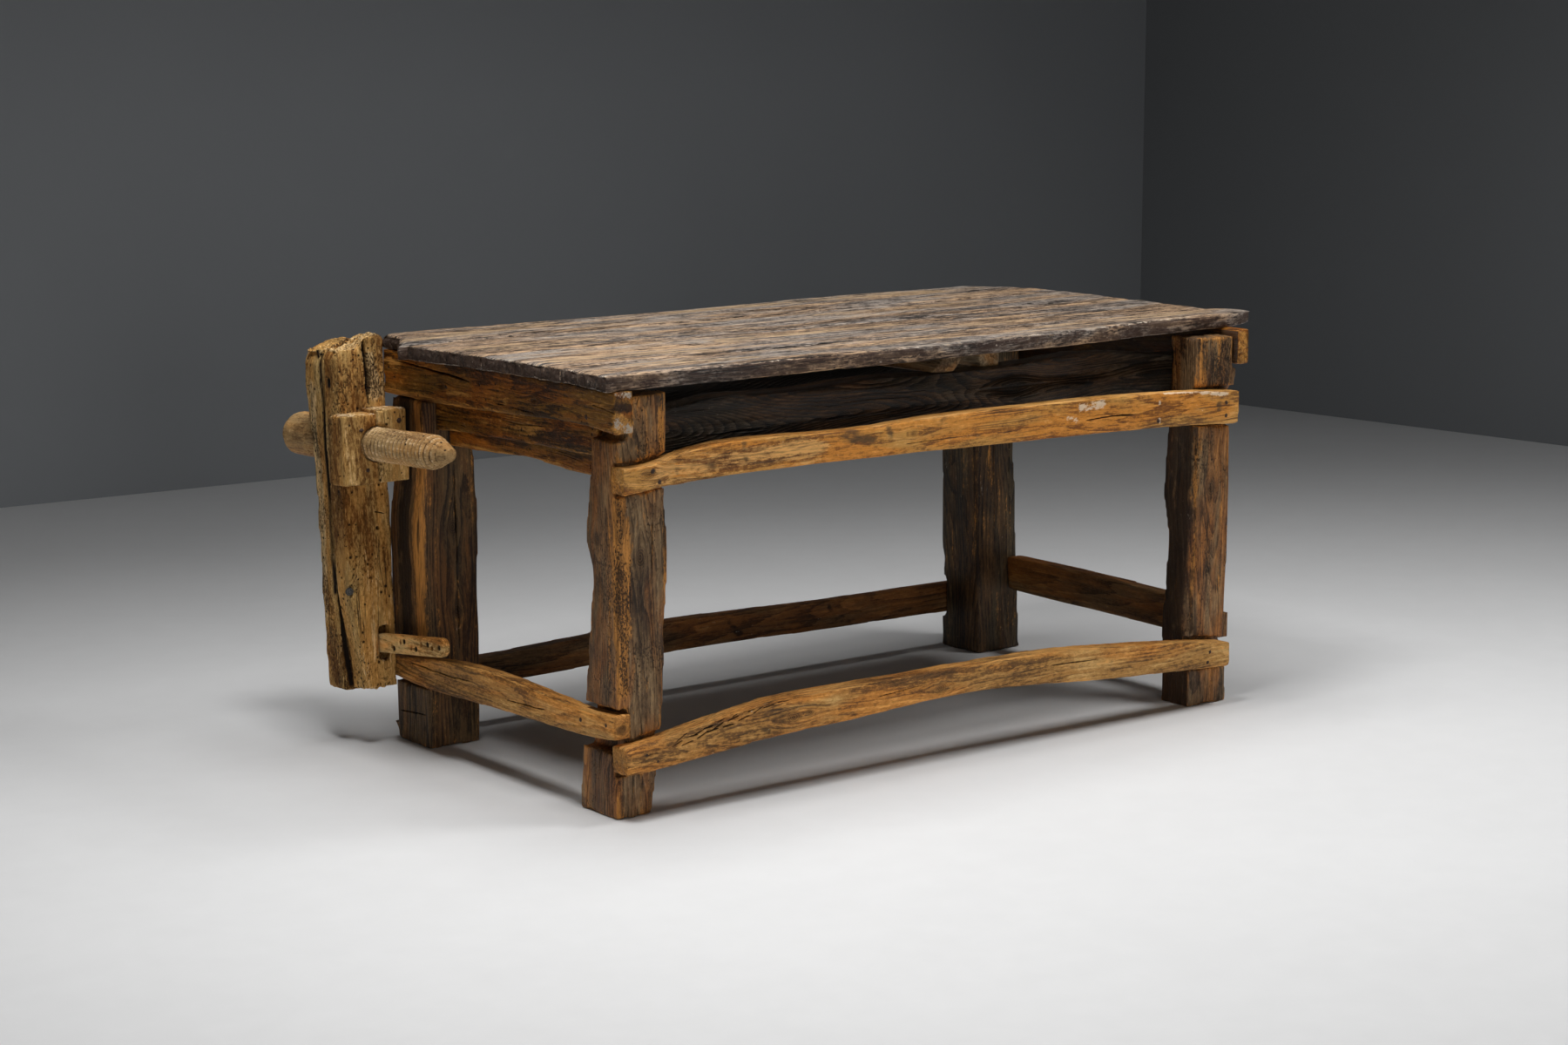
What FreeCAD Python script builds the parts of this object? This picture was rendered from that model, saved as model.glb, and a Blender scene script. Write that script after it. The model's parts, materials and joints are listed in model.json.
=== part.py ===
"""Old farmhouse workbench: a plank top on four hewn legs with lapped rails,
and a wooden leg vise with a turned screw at the back of its left end.

X runs along the bench, Y from the front to the back, Z up. The bench is laid
out from the front left corner of the front left leg, then moved so that the
origin lies on the floor under the middle of the bounding box.
"""
import math
import os

import FreeCAD
import Part

X = FreeCAD.Vector(1, 0, 0)
Y = FreeCAD.Vector(0, 1, 0)
Z = FreeCAD.Vector(0, 0, 1)

# Driving dimensions, mm.
top_height = 800.0
top_thickness = 28.0
top_width = 800.0
bench_span = 1416.0
leg_top_gap = 12.0
front_overhang = 14.0
back_overhang = 18.0
left_overhang = 29.0
right_overhang = 172.0
joint_clearance = 1.0
lap_slack = 5.0

# Plank joints as shares of the top's width, measured from its front edge.
plank_joint_shares = (0.19, 0.48, 0.755)
front_edge_station_shares = (0.0, 0.085, 0.16, 0.26, 0.31, 0.43, 0.5, 0.604, 0.718, 0.839, 0.916, 1.0)
front_edge_set_backs = (0.0, 0.0, -4.0, 2.0, 5.0, 0.0, 6.0, 11.0, 27.0, 47.0, 49.0, 77.0)
back_edge_station_shares = (0.0, 0.3, 0.55, 0.8, 1.0)
back_edge_set_ins = (4.0, 1.0, -8.0, -16.0, -22.0)
plank_joint_station_shares = (0.0, 0.35, 0.7, 1.0)
plank_joint_waves = (0.0, 3.0, -3.0, 0.0)
joint_left_reaches = (-5.0, 12.0, 40.0)
joint_right_reaches = (0.0, 0.0, 4.0)
front_plank_tip = 50.0
back_plank_tongue = 18.0
back_plank_left_inset = 17.0
back_plank_right_inset = 100.0
back_corner_width = 84.0
vise_corner_width = 78.0
vise_corner_set_in = 18.0

# Legs: heights as shares of the leg height, then the edges at those heights.
leg_station_shares = (0.0, 0.1, 0.23, 0.36, 0.49, 0.58, 0.64, 0.7, 0.78, 0.9, 1.0)
front_left_left = (-3.0, -2.0, 0.0, 0.0, 0.0, 2.0, 1.0, 0.0, 0.0, 0.0, 0.0)
front_left_right = (76.0, 86.0, 98.0, 104.0, 107.0, 114.0, 115.0, 110.0, 105.0, 110.0, 108.0)
front_left_back = (122.0, 118.0, 107.0, 98.0, 86.0, 82.0, 95.0, 96.0, 88.0, 88.0, 88.0)
front_right_left = (-4.0, -3.0, -6.0, -4.0, -4.0, -3.0, 2.0, 2.0, 4.0, 6.0, 8.0)
front_right_right = (110.0, 106.0, 99.0, 101.0, 103.0, 104.0, 104.0, 102.0, 105.0, 118.0, 120.0)
front_right_back = (78.0, 77.0, 77.0, 74.0, 74.0, 87.0, 86.0, 83.0, 83.0, 84.0, 84.0)
back_left_left = (0.0, 0.0, -2.0, -6.0, -9.0, -10.0, -5.0, 0.0, 0.0, 0.0, 0.0)
back_left_right = (118.0, 118.0, 117.0, 118.0, 119.0, 120.0, 119.0, 117.0, 114.0, 112.0, 112.0)
back_right_left = (-12.0, -12.0, -12.0, -14.0, -16.0, -18.0, -20.0, -20.0, -20.0, -20.0, -20.0)
back_right_right = (117.0, 113.0, 106.0, 101.0, 98.0, 92.0, 90.0, 92.0, 102.0, 118.0, 120.0)
back_leg_depth = 122.0
corner_chamfer = 14.0
corner_chamfer_foot = 150.0
splinter_reach = 22.0
splinter_root = 8.0
splinter_top = 42.0
splinter_thickness = 14.0

# Front rails, lapped into the front of the legs and standing proud of them.
# The upper rail hangs from the top of the legs, the lower one is set by the floor.
rail_lap_depth = 15.0
housing_overrun = 40.0
upper_rail_proud = 25.0
upper_rail_start = -1.0
upper_rail_right_reach = 102.0
upper_rail_low_shares = (0.0, 0.06, 0.32, 0.48, 0.63, 0.83, 1.0)
upper_rail_low_drops = (172.0, 164.0, 156.0, 158.0, 161.0, 166.0, 177.0)
upper_rail_high_shares = (0.0, 0.06, 0.08, 0.32, 0.45, 0.63, 0.83, 1.0)
upper_rail_high_drops = (123.0, 117.0, 110.0, 100.0, 94.0, 92.0, 96.0, 110.0)
lower_rail_proud = 33.0
lower_rail_start = -5.0
lower_rail_right_reach = 88.0
lower_rail_low_shares = (0.0, 0.1, 0.23, 0.33, 0.45, 0.6, 0.8, 0.87, 1.0)
lower_rail_lows = (86.0, 96.0, 111.0, 114.0, 122.0, 120.0, 97.0, 92.0, 80.0)
lower_rail_high_shares = (0.0, 0.056, 0.14, 0.23, 0.33, 0.45, 0.635, 0.87, 1.0)
lower_rail_highs = (136.0, 143.0, 163.0, 178.0, 180.0, 178.0, 177.0, 153.0, 131.0)

# Back rails, lapped into the back of the back legs.
back_rail_lap = 12.0
back_rail_thickness = 34.0
back_rail_start = 26.0
back_lower_rail_right_reach = 110.0
back_lower_shares = (0.0, 0.2, 0.3, 0.44, 0.63, 0.93, 1.0)
back_lower_lows = (80.0, 81.0, 84.0, 85.0, 83.0, 76.0, 75.0)
back_lower_highs = (140.0, 142.0, 148.0, 152.0, 146.0, 142.0, 140.0)
back_upper_rail_width = 126.0

# Left end: the top rail, the two boards behind it and the stretcher.
end_rail_proud = 14.0
end_rail_thickness = 40.0
end_rail_front = -20.0
end_rail_shares = (0.0, 0.38, 0.57, 0.72, 1.0)
end_rail_widths = (75.0, 74.0, 82.0, 85.0, 84.0)
inner_board_thickness = 28.0
inner_board_drop = 37.0
inner_board_shares = (0.0, 0.4, 0.7, 1.0)
inner_board_widths = (94.0, 98.0, 102.0, 109.0)
lower_board_thickness = 22.0
lower_board_drop = 110.0
lower_board_shares = (0.0, 0.2, 0.45, 0.7, 1.0)
lower_board_widths = (62.0, 66.0, 60.0, 65.0, 70.0)
board_end_gap = 4.0
left_stretcher_thickness = 38.0
left_stretcher_front = -8.0
left_stretcher_shares = (0.0, 0.08, 0.32, 0.7, 0.82, 0.95, 1.0)
left_stretcher_lows = (150.0, 143.0, 137.0, 127.0, 125.0, 130.0, 131.0)
left_stretcher_highs = (193.0, 188.0, 192.0, 193.0, 184.0, 172.0, 170.0)

# Right end: the top rail outside the legs and the stretcher between them.
right_rail_seat = 108.0
right_rail_thickness = 34.0
right_rail_shares = (0.0, 0.13, 0.4, 0.7, 1.0)
right_rail_widths = (72.0, 72.0, 100.0, 130.0, 150.0)
right_rail_front = -10.0
right_rail_back_reach = 10.0
right_stretcher_inset = 74.0
right_stretcher_thickness = 38.0
right_stretcher_tenon = 18.0
right_stretcher_shares = (0.0, 0.3, 0.7, 1.0)
right_stretcher_lows = (131.0, 133.0, 135.0, 137.0)
right_stretcher_highs = (205.0, 208.0, 212.0, 210.0)
patch_low = 130.0
patch_high = 182.0
patch_thickness = 12.0
patch_depth = 40.0
patch_front = 14.0
patch_seat = 100.0

# Long beam behind the front legs and the cross battens that carry the top.
beam_front = 80.0
beam_thickness = 54.0
beam_width = 112.0
beam_right_reach = 86.0
beam_top_shares = (0.0, 0.064, 0.124, 0.25, 0.41, 0.47, 0.53, 0.59, 0.65, 0.7, 0.76, 0.88, 0.94, 1.0)
beam_top_rises = (-14.0, -13.0, -2.0, -3.0, 4.0, 2.0, 2.0, 2.0, 3.0, 6.0, 11.0, 1.0, -8.0, -10.0)
batten_thickness = 42.0
batten_share = 0.556
batten_width = 56.0
batten_slant = 46.0
short_batten_share = 0.655
short_batten_width = 50.0
short_batten_front = 20.0

# Leg vise: it leans by a small angle about the bench's long axis.
vise_lean_degrees = 2.65
vise_pivot_drop = 202.0
post_set_in = 12.0
post_thickness = 56.0
post_low = 112.0
post_shares = (0.0, 0.13, 0.27, 0.45, 0.65, 0.77, 0.85, 0.96)
post_reaches = (86.0, 95.0, 111.0, 116.0, 120.0, 121.0, 120.0, 117.0)
post_top_reaches = (117.0, 106.0, 92.0, 76.0, 56.0, 34.0, 20.0, 14.0)
post_top_rises = (-26.0, -19.0, -21.0, -18.0, -3.0, 2.0, 0.0, -10.0)
chop_thickness = 62.0
chop_low = 107.0
chop_shares = (0.0, 0.19, 0.44, 0.64, 0.8, 0.97)
chop_left_reaches = (104.0, 108.0, 112.0, 114.0, 122.0, 124.0)
chop_right_reaches = (40.0, 34.0, 26.0, 20.0, 18.0, 18.0)
chop_top_reaches = (124.0, 108.0, 70.0, 36.0, 18.0)
chop_top_rises = (-32.0, -19.0, -7.0, -8.0, -26.0)
screw_reach = 71.0
screw_radius = 33.0
screw_running_gap = 1.2
screw_inner_reach = 326.0
screw_taper = 58.0
screw_tip_radius = 13.0
hub_radius = 43.0
hub_length = 142.0
hub_shoulder_radius = 38.0
hub_shoulder_length = 34.0
hub_rounding = 30.0
nut_thickness = 60.0
nut_left_reach = 146.0
nut_right_reach = 3.0
nut_below = 76.0
nut_left_above = 59.0
nut_right_above = 66.0
guide_drop_degrees = 4.55
guide_inner_reach = 232.0
guide_height = 37.0
guide_thickness = 18.0
guide_reach = 50.0
guide_axis_height = 202.0
guide_tip_radius = 17.0
guide_mortise_slack = 13.0
guide_side_slack = 2.0
guide_hole_radius = 4.8
guide_hole_distances = (40.0, 73.0, 112.0, 150.0, 190.0)
guide_hole_offsets = (-5.0, 5.5, -4.5, 4.0, -1.5)

# Hand-forged nail heads. The places at the left and the front count from the
# front left leg, those at the right and the back from the leg at that end, and
# drops count down from the top of the legs or the underside of the planks.
nail_radius = 5.0
nail_thickness = 2.0
nail_sides = 8
share_of_side = 0.5
upper_left_nail_drops = ((62.0, 132.0), (76.0, 153.0))
upper_right_nail_drops = ((-126.0, 152.0), (64.0, 131.0), (64.0, 157.0))
lower_left_nails = ((38.0, 121.0), (62.0, 106.0))
lower_right_nails = ((26.0, 119.0), (20.0, 98.0))
end_rail_front_nail_drop = (69.0, 53.0)
end_rail_back_nail_drop = (-110.0, 49.0)
left_stretcher_nails = ((16.0, 173.0), (97.0, 168.0))
nut_nail_rises = ((105.0, 29.0), (22.0, 41.0), (95.0, -48.0))

# Values that follow from the driving dimensions.
top_under = top_height - top_thickness
leg_height = top_under - leg_top_gap
bench_depth = top_width - front_overhang - back_overhang - back_leg_depth
top_front = -front_overhang
top_left = -left_overhang
top_right = bench_span + right_overhang
top_length = top_right - top_left
end_rail_outer = -end_rail_proud
end_rail_inner = end_rail_outer + end_rail_thickness
end_rail_low = top_under - max(end_rail_widths)
inner_board_inner = end_rail_inner + inner_board_thickness
inner_board_high = top_under - inner_board_drop
lower_board_inner = inner_board_inner + lower_board_thickness
lower_board_high = top_under - lower_board_drop
upper_rail_length = bench_span + upper_rail_right_reach - upper_rail_start
upper_rail_lows = [leg_height - drop for drop in upper_rail_low_drops]
upper_rail_highs = [leg_height - drop for drop in upper_rail_high_drops]
lower_rail_length = bench_span + lower_rail_right_reach - lower_rail_start
back_face = bench_depth + back_leg_depth
back_rail_front = back_face - back_rail_lap
back_rail_back = back_rail_front + back_rail_thickness
beam_high = top_under - batten_thickness
beam_low = beam_high - beam_width
back_upper_rail_low = beam_high - back_upper_rail_width
right_rail_inner = bench_span + right_rail_seat
right_rail_lows = [top_under - width for width in right_rail_widths]
post_right = -end_rail_proud
post_front = back_face - post_set_in
post_back = post_front + post_thickness
chop_back = post_back + chop_thickness
hub_back = chop_back + hub_length
vise_pivot_height = top_height - vise_pivot_drop
screw_tip_front = post_front - screw_inner_reach
guide_front = post_front - guide_inner_reach
nut_front = post_front - nut_thickness
nut_low = vise_pivot_height - nut_below
post_height = top_height - post_low
chop_height = top_height - chop_low
lean = math.radians(vise_lean_degrees)
hub_arc_reach = hub_back - hub_rounding - post_front
hub_flat_radius = hub_radius - hub_rounding
part_back = post_front + hub_arc_reach * math.cos(lean) + hub_flat_radius * math.sin(lean) + hub_rounding
part_front = -lower_rail_proud - nail_thickness
middle_x = (top_right + front_plank_tip - nut_left_reach) / 2
middle_y = (part_back + part_front) / 2


def at(x=0, y=0, z=0):
    return FreeCAD.Vector(x, y, z)


def box(x0, x1, y0, y1, z0, z1):
    return Part.makeBox(x1 - x0, y1 - y0, z1 - z0, at(x0, y0, z0))


def curve(points):
    """A straight edge through two points, or a smooth one through more."""
    if len(points) == 2:
        return Part.makeLine(points[0], points[1])
    spline = Part.BSplineCurve()
    spline.interpolate(points)
    return spline.toShape()


def slab(first, second, through):
    """Solid between two rows of points, straight at both ends."""
    edges = [
        curve(first),
        Part.makeLine(first[-1], second[-1]),
        curve(second[::-1]),
        Part.makeLine(second[0], first[0]),
    ]
    return Part.Face(Part.Wire(edges)).extrude(through)


def prism(points, through):
    """Solid with straight edges through the points."""
    wire = Part.makePolygon(points + points[:1])
    return Part.Face(wire).extrude(through)


def spread(start, length, shares):
    return [start + length * share for share in shares]


def long_board(start, length, y0, y1, low_shares, lows, high_shares, highs):
    """Board along X whose lower and upper edges follow the grain."""
    low_points = [at(x, y0, z) for x, z in zip(spread(start, length, low_shares), lows)]
    high_points = [at(x, y0, z) for x, z in zip(spread(start, length, high_shares), highs)]
    return slab(low_points, high_points, Y * (y1 - y0))


def cross_board(x0, x1, start, end, shares, lows, highs):
    """Board along Y whose edges follow the grain."""
    places = spread(start, end - start, shares)
    low_points = [at(x0, y, z) for y, z in zip(places, lows)]
    high_points = [at(x0, y, z) for y, z in zip(places, highs)]
    return slab(low_points, high_points, X * (x1 - x0))


def level(value, shares):
    return [value for _ in shares]


def joint_line(index):
    """Points along the joint between two planks, the same for both."""
    y = top_front + top_width * plank_joint_shares[index]
    left = top_left - joint_left_reaches[index]
    length = top_right + joint_right_reaches[index] - left
    places = spread(left, length, plank_joint_station_shares)
    return [at(x, y + wave, top_under) for x, wave in zip(places, plank_joint_waves)]


def plank_front():
    places = spread(top_left, top_length + front_plank_tip, front_edge_station_shares)
    edge = [at(x, top_front + back, top_under) for x, back in zip(places, front_edge_set_backs)]
    return slab(edge, joint_line(0), Z * top_thickness)


def plank_second():
    return slab(joint_line(0), joint_line(1), Z * top_thickness)


def plank_third():
    return slab(joint_line(1), joint_line(2), Z * top_thickness)


def plank_back():
    near = joint_line(2)
    back = top_front + top_width
    left = top_left + back_plank_left_inset
    right = top_right - back_plank_right_inset
    places = spread(left, right - left, back_edge_station_shares)
    far = [at(x, back - ins, top_under) for x, ins in zip(places, back_edge_set_ins)]
    right_shoulder = at(top_right - vise_corner_set_in, back - back_corner_width, top_under)
    left_shoulder = at(left, back - vise_corner_width, top_under)
    tongue = near[0] - X * back_plank_tongue
    edges = [
        curve(near),
        Part.makeLine(near[-1], right_shoulder),
        Part.makeLine(right_shoulder, far[-1]),
        curve(far[::-1]),
        Part.makeLine(far[0], left_shoulder),
        Part.makeLine(left_shoulder, tongue),
        Part.makeLine(tongue, near[0]),
    ]
    return Part.Face(Part.Wire(edges)).extrude(Z * top_thickness)


def leg_blank(corner_x, corner_y, lefts, rights, depths):
    """Hewn leg: its front outline crossed with its side outline."""
    heights = spread(0, leg_height, leg_station_shares)
    left_points = [at(corner_x + left, corner_y, z) for left, z in zip(lefts, heights)]
    right_points = [at(corner_x + right, corner_y, z) for right, z in zip(rights, heights)]
    front = slab(left_points, right_points, Y * max(depths))
    start = corner_x + min(lefts)
    near_points = [at(start, corner_y, 0), at(start, corner_y, leg_height)]
    far_points = [at(start, corner_y + depth, z) for depth, z in zip(depths, heights)]
    side = slab(near_points, far_points, X * (max(rights) - min(lefts)))
    return front.common(side)


def chamfer_cutter(corner_x, corner_y, foot):
    points = [
        at(corner_x - corner_chamfer, corner_y - corner_chamfer, foot),
        at(corner_x + 2 * corner_chamfer, corner_y - corner_chamfer, foot),
        at(corner_x - corner_chamfer, corner_y + 2 * corner_chamfer, foot),
    ]
    return prism(points, Z * (leg_height - foot))


def upper_rail_blank(slack, y0, y1):
    """Upper front rail, or the room for it when slack is given."""
    lows = [low - slack for low in upper_rail_lows]
    highs = [high + slack for high in upper_rail_highs]
    return long_board(upper_rail_start, upper_rail_length, y0, y1,
                      upper_rail_low_shares, lows, upper_rail_high_shares, highs)


def lower_rail_blank(slack, y0, y1):
    """Lower front rail, or the room for it when slack is given."""
    lows = [low - slack for low in lower_rail_lows]
    highs = [high + slack for high in lower_rail_highs]
    return long_board(lower_rail_start, lower_rail_length, y0, y1,
                      lower_rail_low_shares, lows, lower_rail_high_shares, highs)


def left_overruns(x1, lows, highs):
    """Cutter that carries a front housing on past the left end of its rail."""
    return box(x1 - housing_overrun, x1, -rail_lap_depth, rail_lap_depth,
               lows[0] - lap_slack, highs[0] + lap_slack)


def right_overruns(x0, lows, highs):
    """Cutter that carries a front housing on past the right end of its rail."""
    return box(x0, x0 + housing_overrun, -rail_lap_depth, rail_lap_depth,
               lows[-1] - lap_slack, highs[-1] + lap_slack)


def front_housings():
    """Cutters for the two rails lapped into the front of the legs."""
    return [
        upper_rail_blank(lap_slack, -rail_lap_depth, rail_lap_depth),
        lower_rail_blank(lap_slack, -rail_lap_depth, rail_lap_depth),
    ]


def left_end_housings(y0, y1):
    """Cutters for the top rail and the stretcher at the left end."""
    stretcher_inner = end_rail_outer + left_stretcher_thickness
    low = min(left_stretcher_lows) - lap_slack
    high = max(left_stretcher_highs) + lap_slack
    return [
        box(end_rail_outer, end_rail_inner, y0, y1, end_rail_low - lap_slack, top_height),
        box(end_rail_outer, stretcher_inner, y0, y1, low, high),
    ]


def leg_front_left():
    leg = leg_blank(0, 0, front_left_left, front_left_right, front_left_back)
    width = max(front_left_right)
    depth = max(front_left_back)
    cutters = left_end_housings(-depth, depth) + front_housings()
    cutters.append(left_overruns(upper_rail_start, upper_rail_lows, upper_rail_highs))
    cutters.append(left_overruns(lower_rail_start, lower_rail_lows, lower_rail_highs))
    cutters.append(box(0, width, beam_front, depth, beam_low - lap_slack, beam_high + lap_slack))
    return leg.cut(cutters)


def leg_front_right():
    leg = leg_blank(bench_span, 0, front_right_left, front_right_right, front_right_back)
    left = bench_span - max(front_right_right)
    right = bench_span + 2 * max(front_right_right)
    depth = 2 * max(front_right_back)
    tenon_left = bench_span + right_stretcher_inset
    tenon_front = min(front_right_back) - right_stretcher_tenon
    tenon_low = min(right_stretcher_lows) - joint_clearance
    tenon_high = max(right_stretcher_highs) + joint_clearance
    upper_end = upper_rail_start + upper_rail_length
    lower_end = lower_rail_start + lower_rail_length
    cutters = [
        chamfer_cutter(bench_span, 0, corner_chamfer_foot),
        right_overruns(upper_end, upper_rail_lows, upper_rail_highs),
        right_overruns(lower_end, lower_rail_lows, lower_rail_highs),
        box(left, right, beam_front, depth, beam_low - lap_slack, beam_high + lap_slack),
        box(right_rail_inner, right, -depth, depth, right_rail_lows[0] - lap_slack, top_height),
        box(tenon_left, right, tenon_front, depth, tenon_low, tenon_high),
        box(bench_span + patch_seat, right, -depth, depth, patch_low, patch_high),
    ]
    return leg.cut(cutters + front_housings())


def back_depths():
    return [back_leg_depth for _ in leg_station_shares]


def back_housings(x0, x1):
    """Cutters for the two rails lapped into the back of a leg."""
    low = min(back_lower_lows) - lap_slack
    high = max(back_lower_highs) + lap_slack
    deep = back_face + back_rail_thickness
    return [
        box(x0, x1, back_rail_front, deep, low, high),
        box(x0, x1, back_rail_front, deep, back_upper_rail_low - lap_slack, beam_high + lap_slack),
    ]


def leg_back_left():
    leg = leg_blank(0, bench_depth, back_left_left, back_left_right, back_depths())
    splinter = prism(
        [
            at(0, back_face - splinter_root, splinter_root),
            at(0, back_face + splinter_reach, splinter_top),
            at(0, back_face - splinter_root, splinter_top - splinter_reach),
        ],
        X * splinter_thickness,
    )
    right = 2 * max(back_left_right)
    cutters = left_end_housings(bench_depth, back_face)
    cutters.append(chamfer_cutter(min(back_left_left), bench_depth, 2 * corner_chamfer_foot))
    return leg.fuse(splinter).cut(cutters + back_housings(back_rail_start, right))


def leg_back_right():
    leg = leg_blank(bench_span, bench_depth, back_right_left, back_right_right, back_depths())
    left = bench_span - max(back_right_right)
    right = bench_span + 2 * max(back_right_right)
    cutters = back_housings(left, right)
    rail_seat_low = min(right_rail_lows) - lap_slack
    cutters.append(box(right_rail_inner, right, bench_depth, 2 * back_face, rail_seat_low, top_height))
    return leg.cut(cutters)


def front_upper_rail():
    return upper_rail_blank(0, -upper_rail_proud, rail_lap_depth)


def front_lower_rail():
    return lower_rail_blank(0, -lower_rail_proud, rail_lap_depth)


def back_lower_rail():
    length = bench_span + back_lower_rail_right_reach - back_rail_start
    return long_board(back_rail_start, length, back_rail_front, back_rail_back,
                      back_lower_shares, back_lower_lows, back_lower_shares, back_lower_highs)


def back_upper_rail():
    return box(back_rail_start, right_rail_inner - joint_clearance, back_rail_front, back_rail_back,
               back_upper_rail_low, beam_high)


def left_end_top_rail():
    lows = [top_under - width for width in end_rail_widths]
    return cross_board(end_rail_outer, end_rail_inner, end_rail_front, back_face,
                       end_rail_shares, lows, level(top_under, end_rail_shares))


def left_end_inner_board():
    front = max(front_left_back[-3:]) + board_end_gap
    lows = [inner_board_high - width for width in inner_board_widths]
    return cross_board(end_rail_inner, inner_board_inner, front, bench_depth - board_end_gap,
                       inner_board_shares, lows, level(inner_board_high, inner_board_shares))


def left_end_lower_board():
    front = max(front_left_back[-4:]) + board_end_gap
    lows = [lower_board_high - width for width in lower_board_widths]
    return cross_board(inner_board_inner, lower_board_inner, front, bench_depth - board_end_gap,
                       lower_board_shares, lows, level(lower_board_high, lower_board_shares))


def left_lower_stretcher():
    return cross_board(end_rail_outer, end_rail_outer + left_stretcher_thickness,
                       left_stretcher_front, back_face,
                       left_stretcher_shares, left_stretcher_lows, left_stretcher_highs)


def right_end_top_rail():
    """Rail outside the right legs, wider toward the back."""
    return cross_board(right_rail_inner, right_rail_inner + right_rail_thickness,
                       right_rail_front, back_face + right_rail_back_reach,
                       right_rail_shares, right_rail_lows, level(top_under, right_rail_shares))


def right_lower_stretcher():
    left = bench_span + right_stretcher_inset
    front = min(front_right_back) - right_stretcher_tenon
    return cross_board(left, left + right_stretcher_thickness, front, bench_depth,
                       right_stretcher_shares, right_stretcher_lows, right_stretcher_highs)


def leg_patch():
    left = bench_span + patch_seat
    return box(left, left + 2 * patch_thickness, patch_front, patch_front + patch_depth,
               patch_low, patch_high)


def inner_beam():
    """Long beam with a wavy upper edge and a flat seat for the two battens."""
    start = lower_board_inner + joint_clearance
    highs = [beam_high + rise for rise in beam_top_rises]
    beam = long_board(start, bench_span + beam_right_reach - start,
                      beam_front, beam_front + beam_thickness,
                      (0, 1), (beam_low, beam_low), beam_top_shares, highs)
    seat_left = bench_span * batten_share - lap_slack
    seat_right = bench_span * short_batten_share + short_batten_width + lap_slack
    return beam.cut(box(seat_left, seat_right, beam_front, beam_front + beam_thickness,
                        beam_high, top_under))


def cross_batten():
    left = bench_span * batten_share
    points = [
        at(left, beam_front, beam_high),
        at(left + batten_width, beam_front, beam_high),
        at(left + batten_width + batten_slant, beam_front, top_under),
        at(left + batten_slant, beam_front, top_under),
    ]
    return prism(points, Y * (back_rail_back - beam_front))


def short_batten():
    left = bench_span * short_batten_share
    return box(left, left + short_batten_width, beam_front + short_batten_front, back_rail_back,
               beam_high, top_under)


def leaned(shape):
    """Tips a vise piece about the long axis at the front face of the post."""
    shape.rotate(at(0, post_front, vise_pivot_height), X, -vise_lean_degrees)
    return shape


def outline_piece(y0, y1, lefts, rights, tops):
    """Vise slab from its left edge, right edge and top edge."""
    edges = [
        curve(lefts),
        curve(tops),
        curve(rights[::-1]),
        Part.makeLine(rights[0], lefts[0]),
    ]
    return Part.Face(Part.Wire(edges)).extrude(Y * (y1 - y0))


def bore(radius, y0, y1):
    return Part.makeCylinder(radius, y1 - y0, at(-screw_reach, y0, vise_pivot_height), Y)


def guide_blank(margin_height, margin_side, front, back):
    """Guide board, or the room for it when margins are given."""
    half = guide_height / 2 + margin_height
    shape = box(-guide_reach - margin_side, -guide_reach + guide_thickness + margin_side,
                front, back, guide_axis_height - half, guide_axis_height + half)
    shape.rotate(at(0, post_front, guide_axis_height), X, -guide_drop_degrees)
    return shape


def vise_post():
    heights = spread(post_low, post_height, post_shares)
    lefts = [at(-reach, post_front, z) for reach, z in zip(post_reaches, heights)]
    crest = zip(post_top_reaches, post_top_rises)
    tops = [at(-reach, post_front, top_height + rise) for reach, rise in crest]
    tops[0] = lefts[-1]
    rights = [at(post_right, post_front, post_low), tops[-1]]
    slab_shape = outline_piece(post_front, post_back, lefts, rights, tops)
    mortise = guide_blank(guide_mortise_slack, guide_side_slack, guide_front, hub_back)
    hole = bore(screw_radius + screw_running_gap, nut_front, hub_back)
    return leaned(slab_shape.cut([hole, mortise]))


def vise_chop():
    heights = spread(chop_low, chop_height, chop_shares)
    lefts = [at(-reach, post_back, z) for reach, z in zip(chop_left_reaches, heights)]
    rights = [at(-reach, post_back, z) for reach, z in zip(chop_right_reaches, heights)]
    crest = zip(chop_top_reaches, chop_top_rises)
    tops = [at(-reach, post_back, top_height + rise) for reach, rise in crest]
    tops[0] = lefts[-1]
    tops[-1] = rights[-1]
    slab_shape = outline_piece(post_back, chop_back, lefts, rights, tops)
    hole = bore(screw_radius + screw_running_gap, post_front, hub_back)
    mortise = guide_blank(0, 0, guide_front, hub_back)
    return leaned(slab_shape.cut([hole, mortise]))


def vise_nut(left_reach, right_reach, above):
    """One half of the split nut on the front of the post."""
    half = box(-left_reach, -right_reach, nut_front, post_front, nut_low, vise_pivot_height + above)
    return leaned(half.cut(bore(screw_radius + screw_running_gap, nut_front, post_back)))


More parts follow.
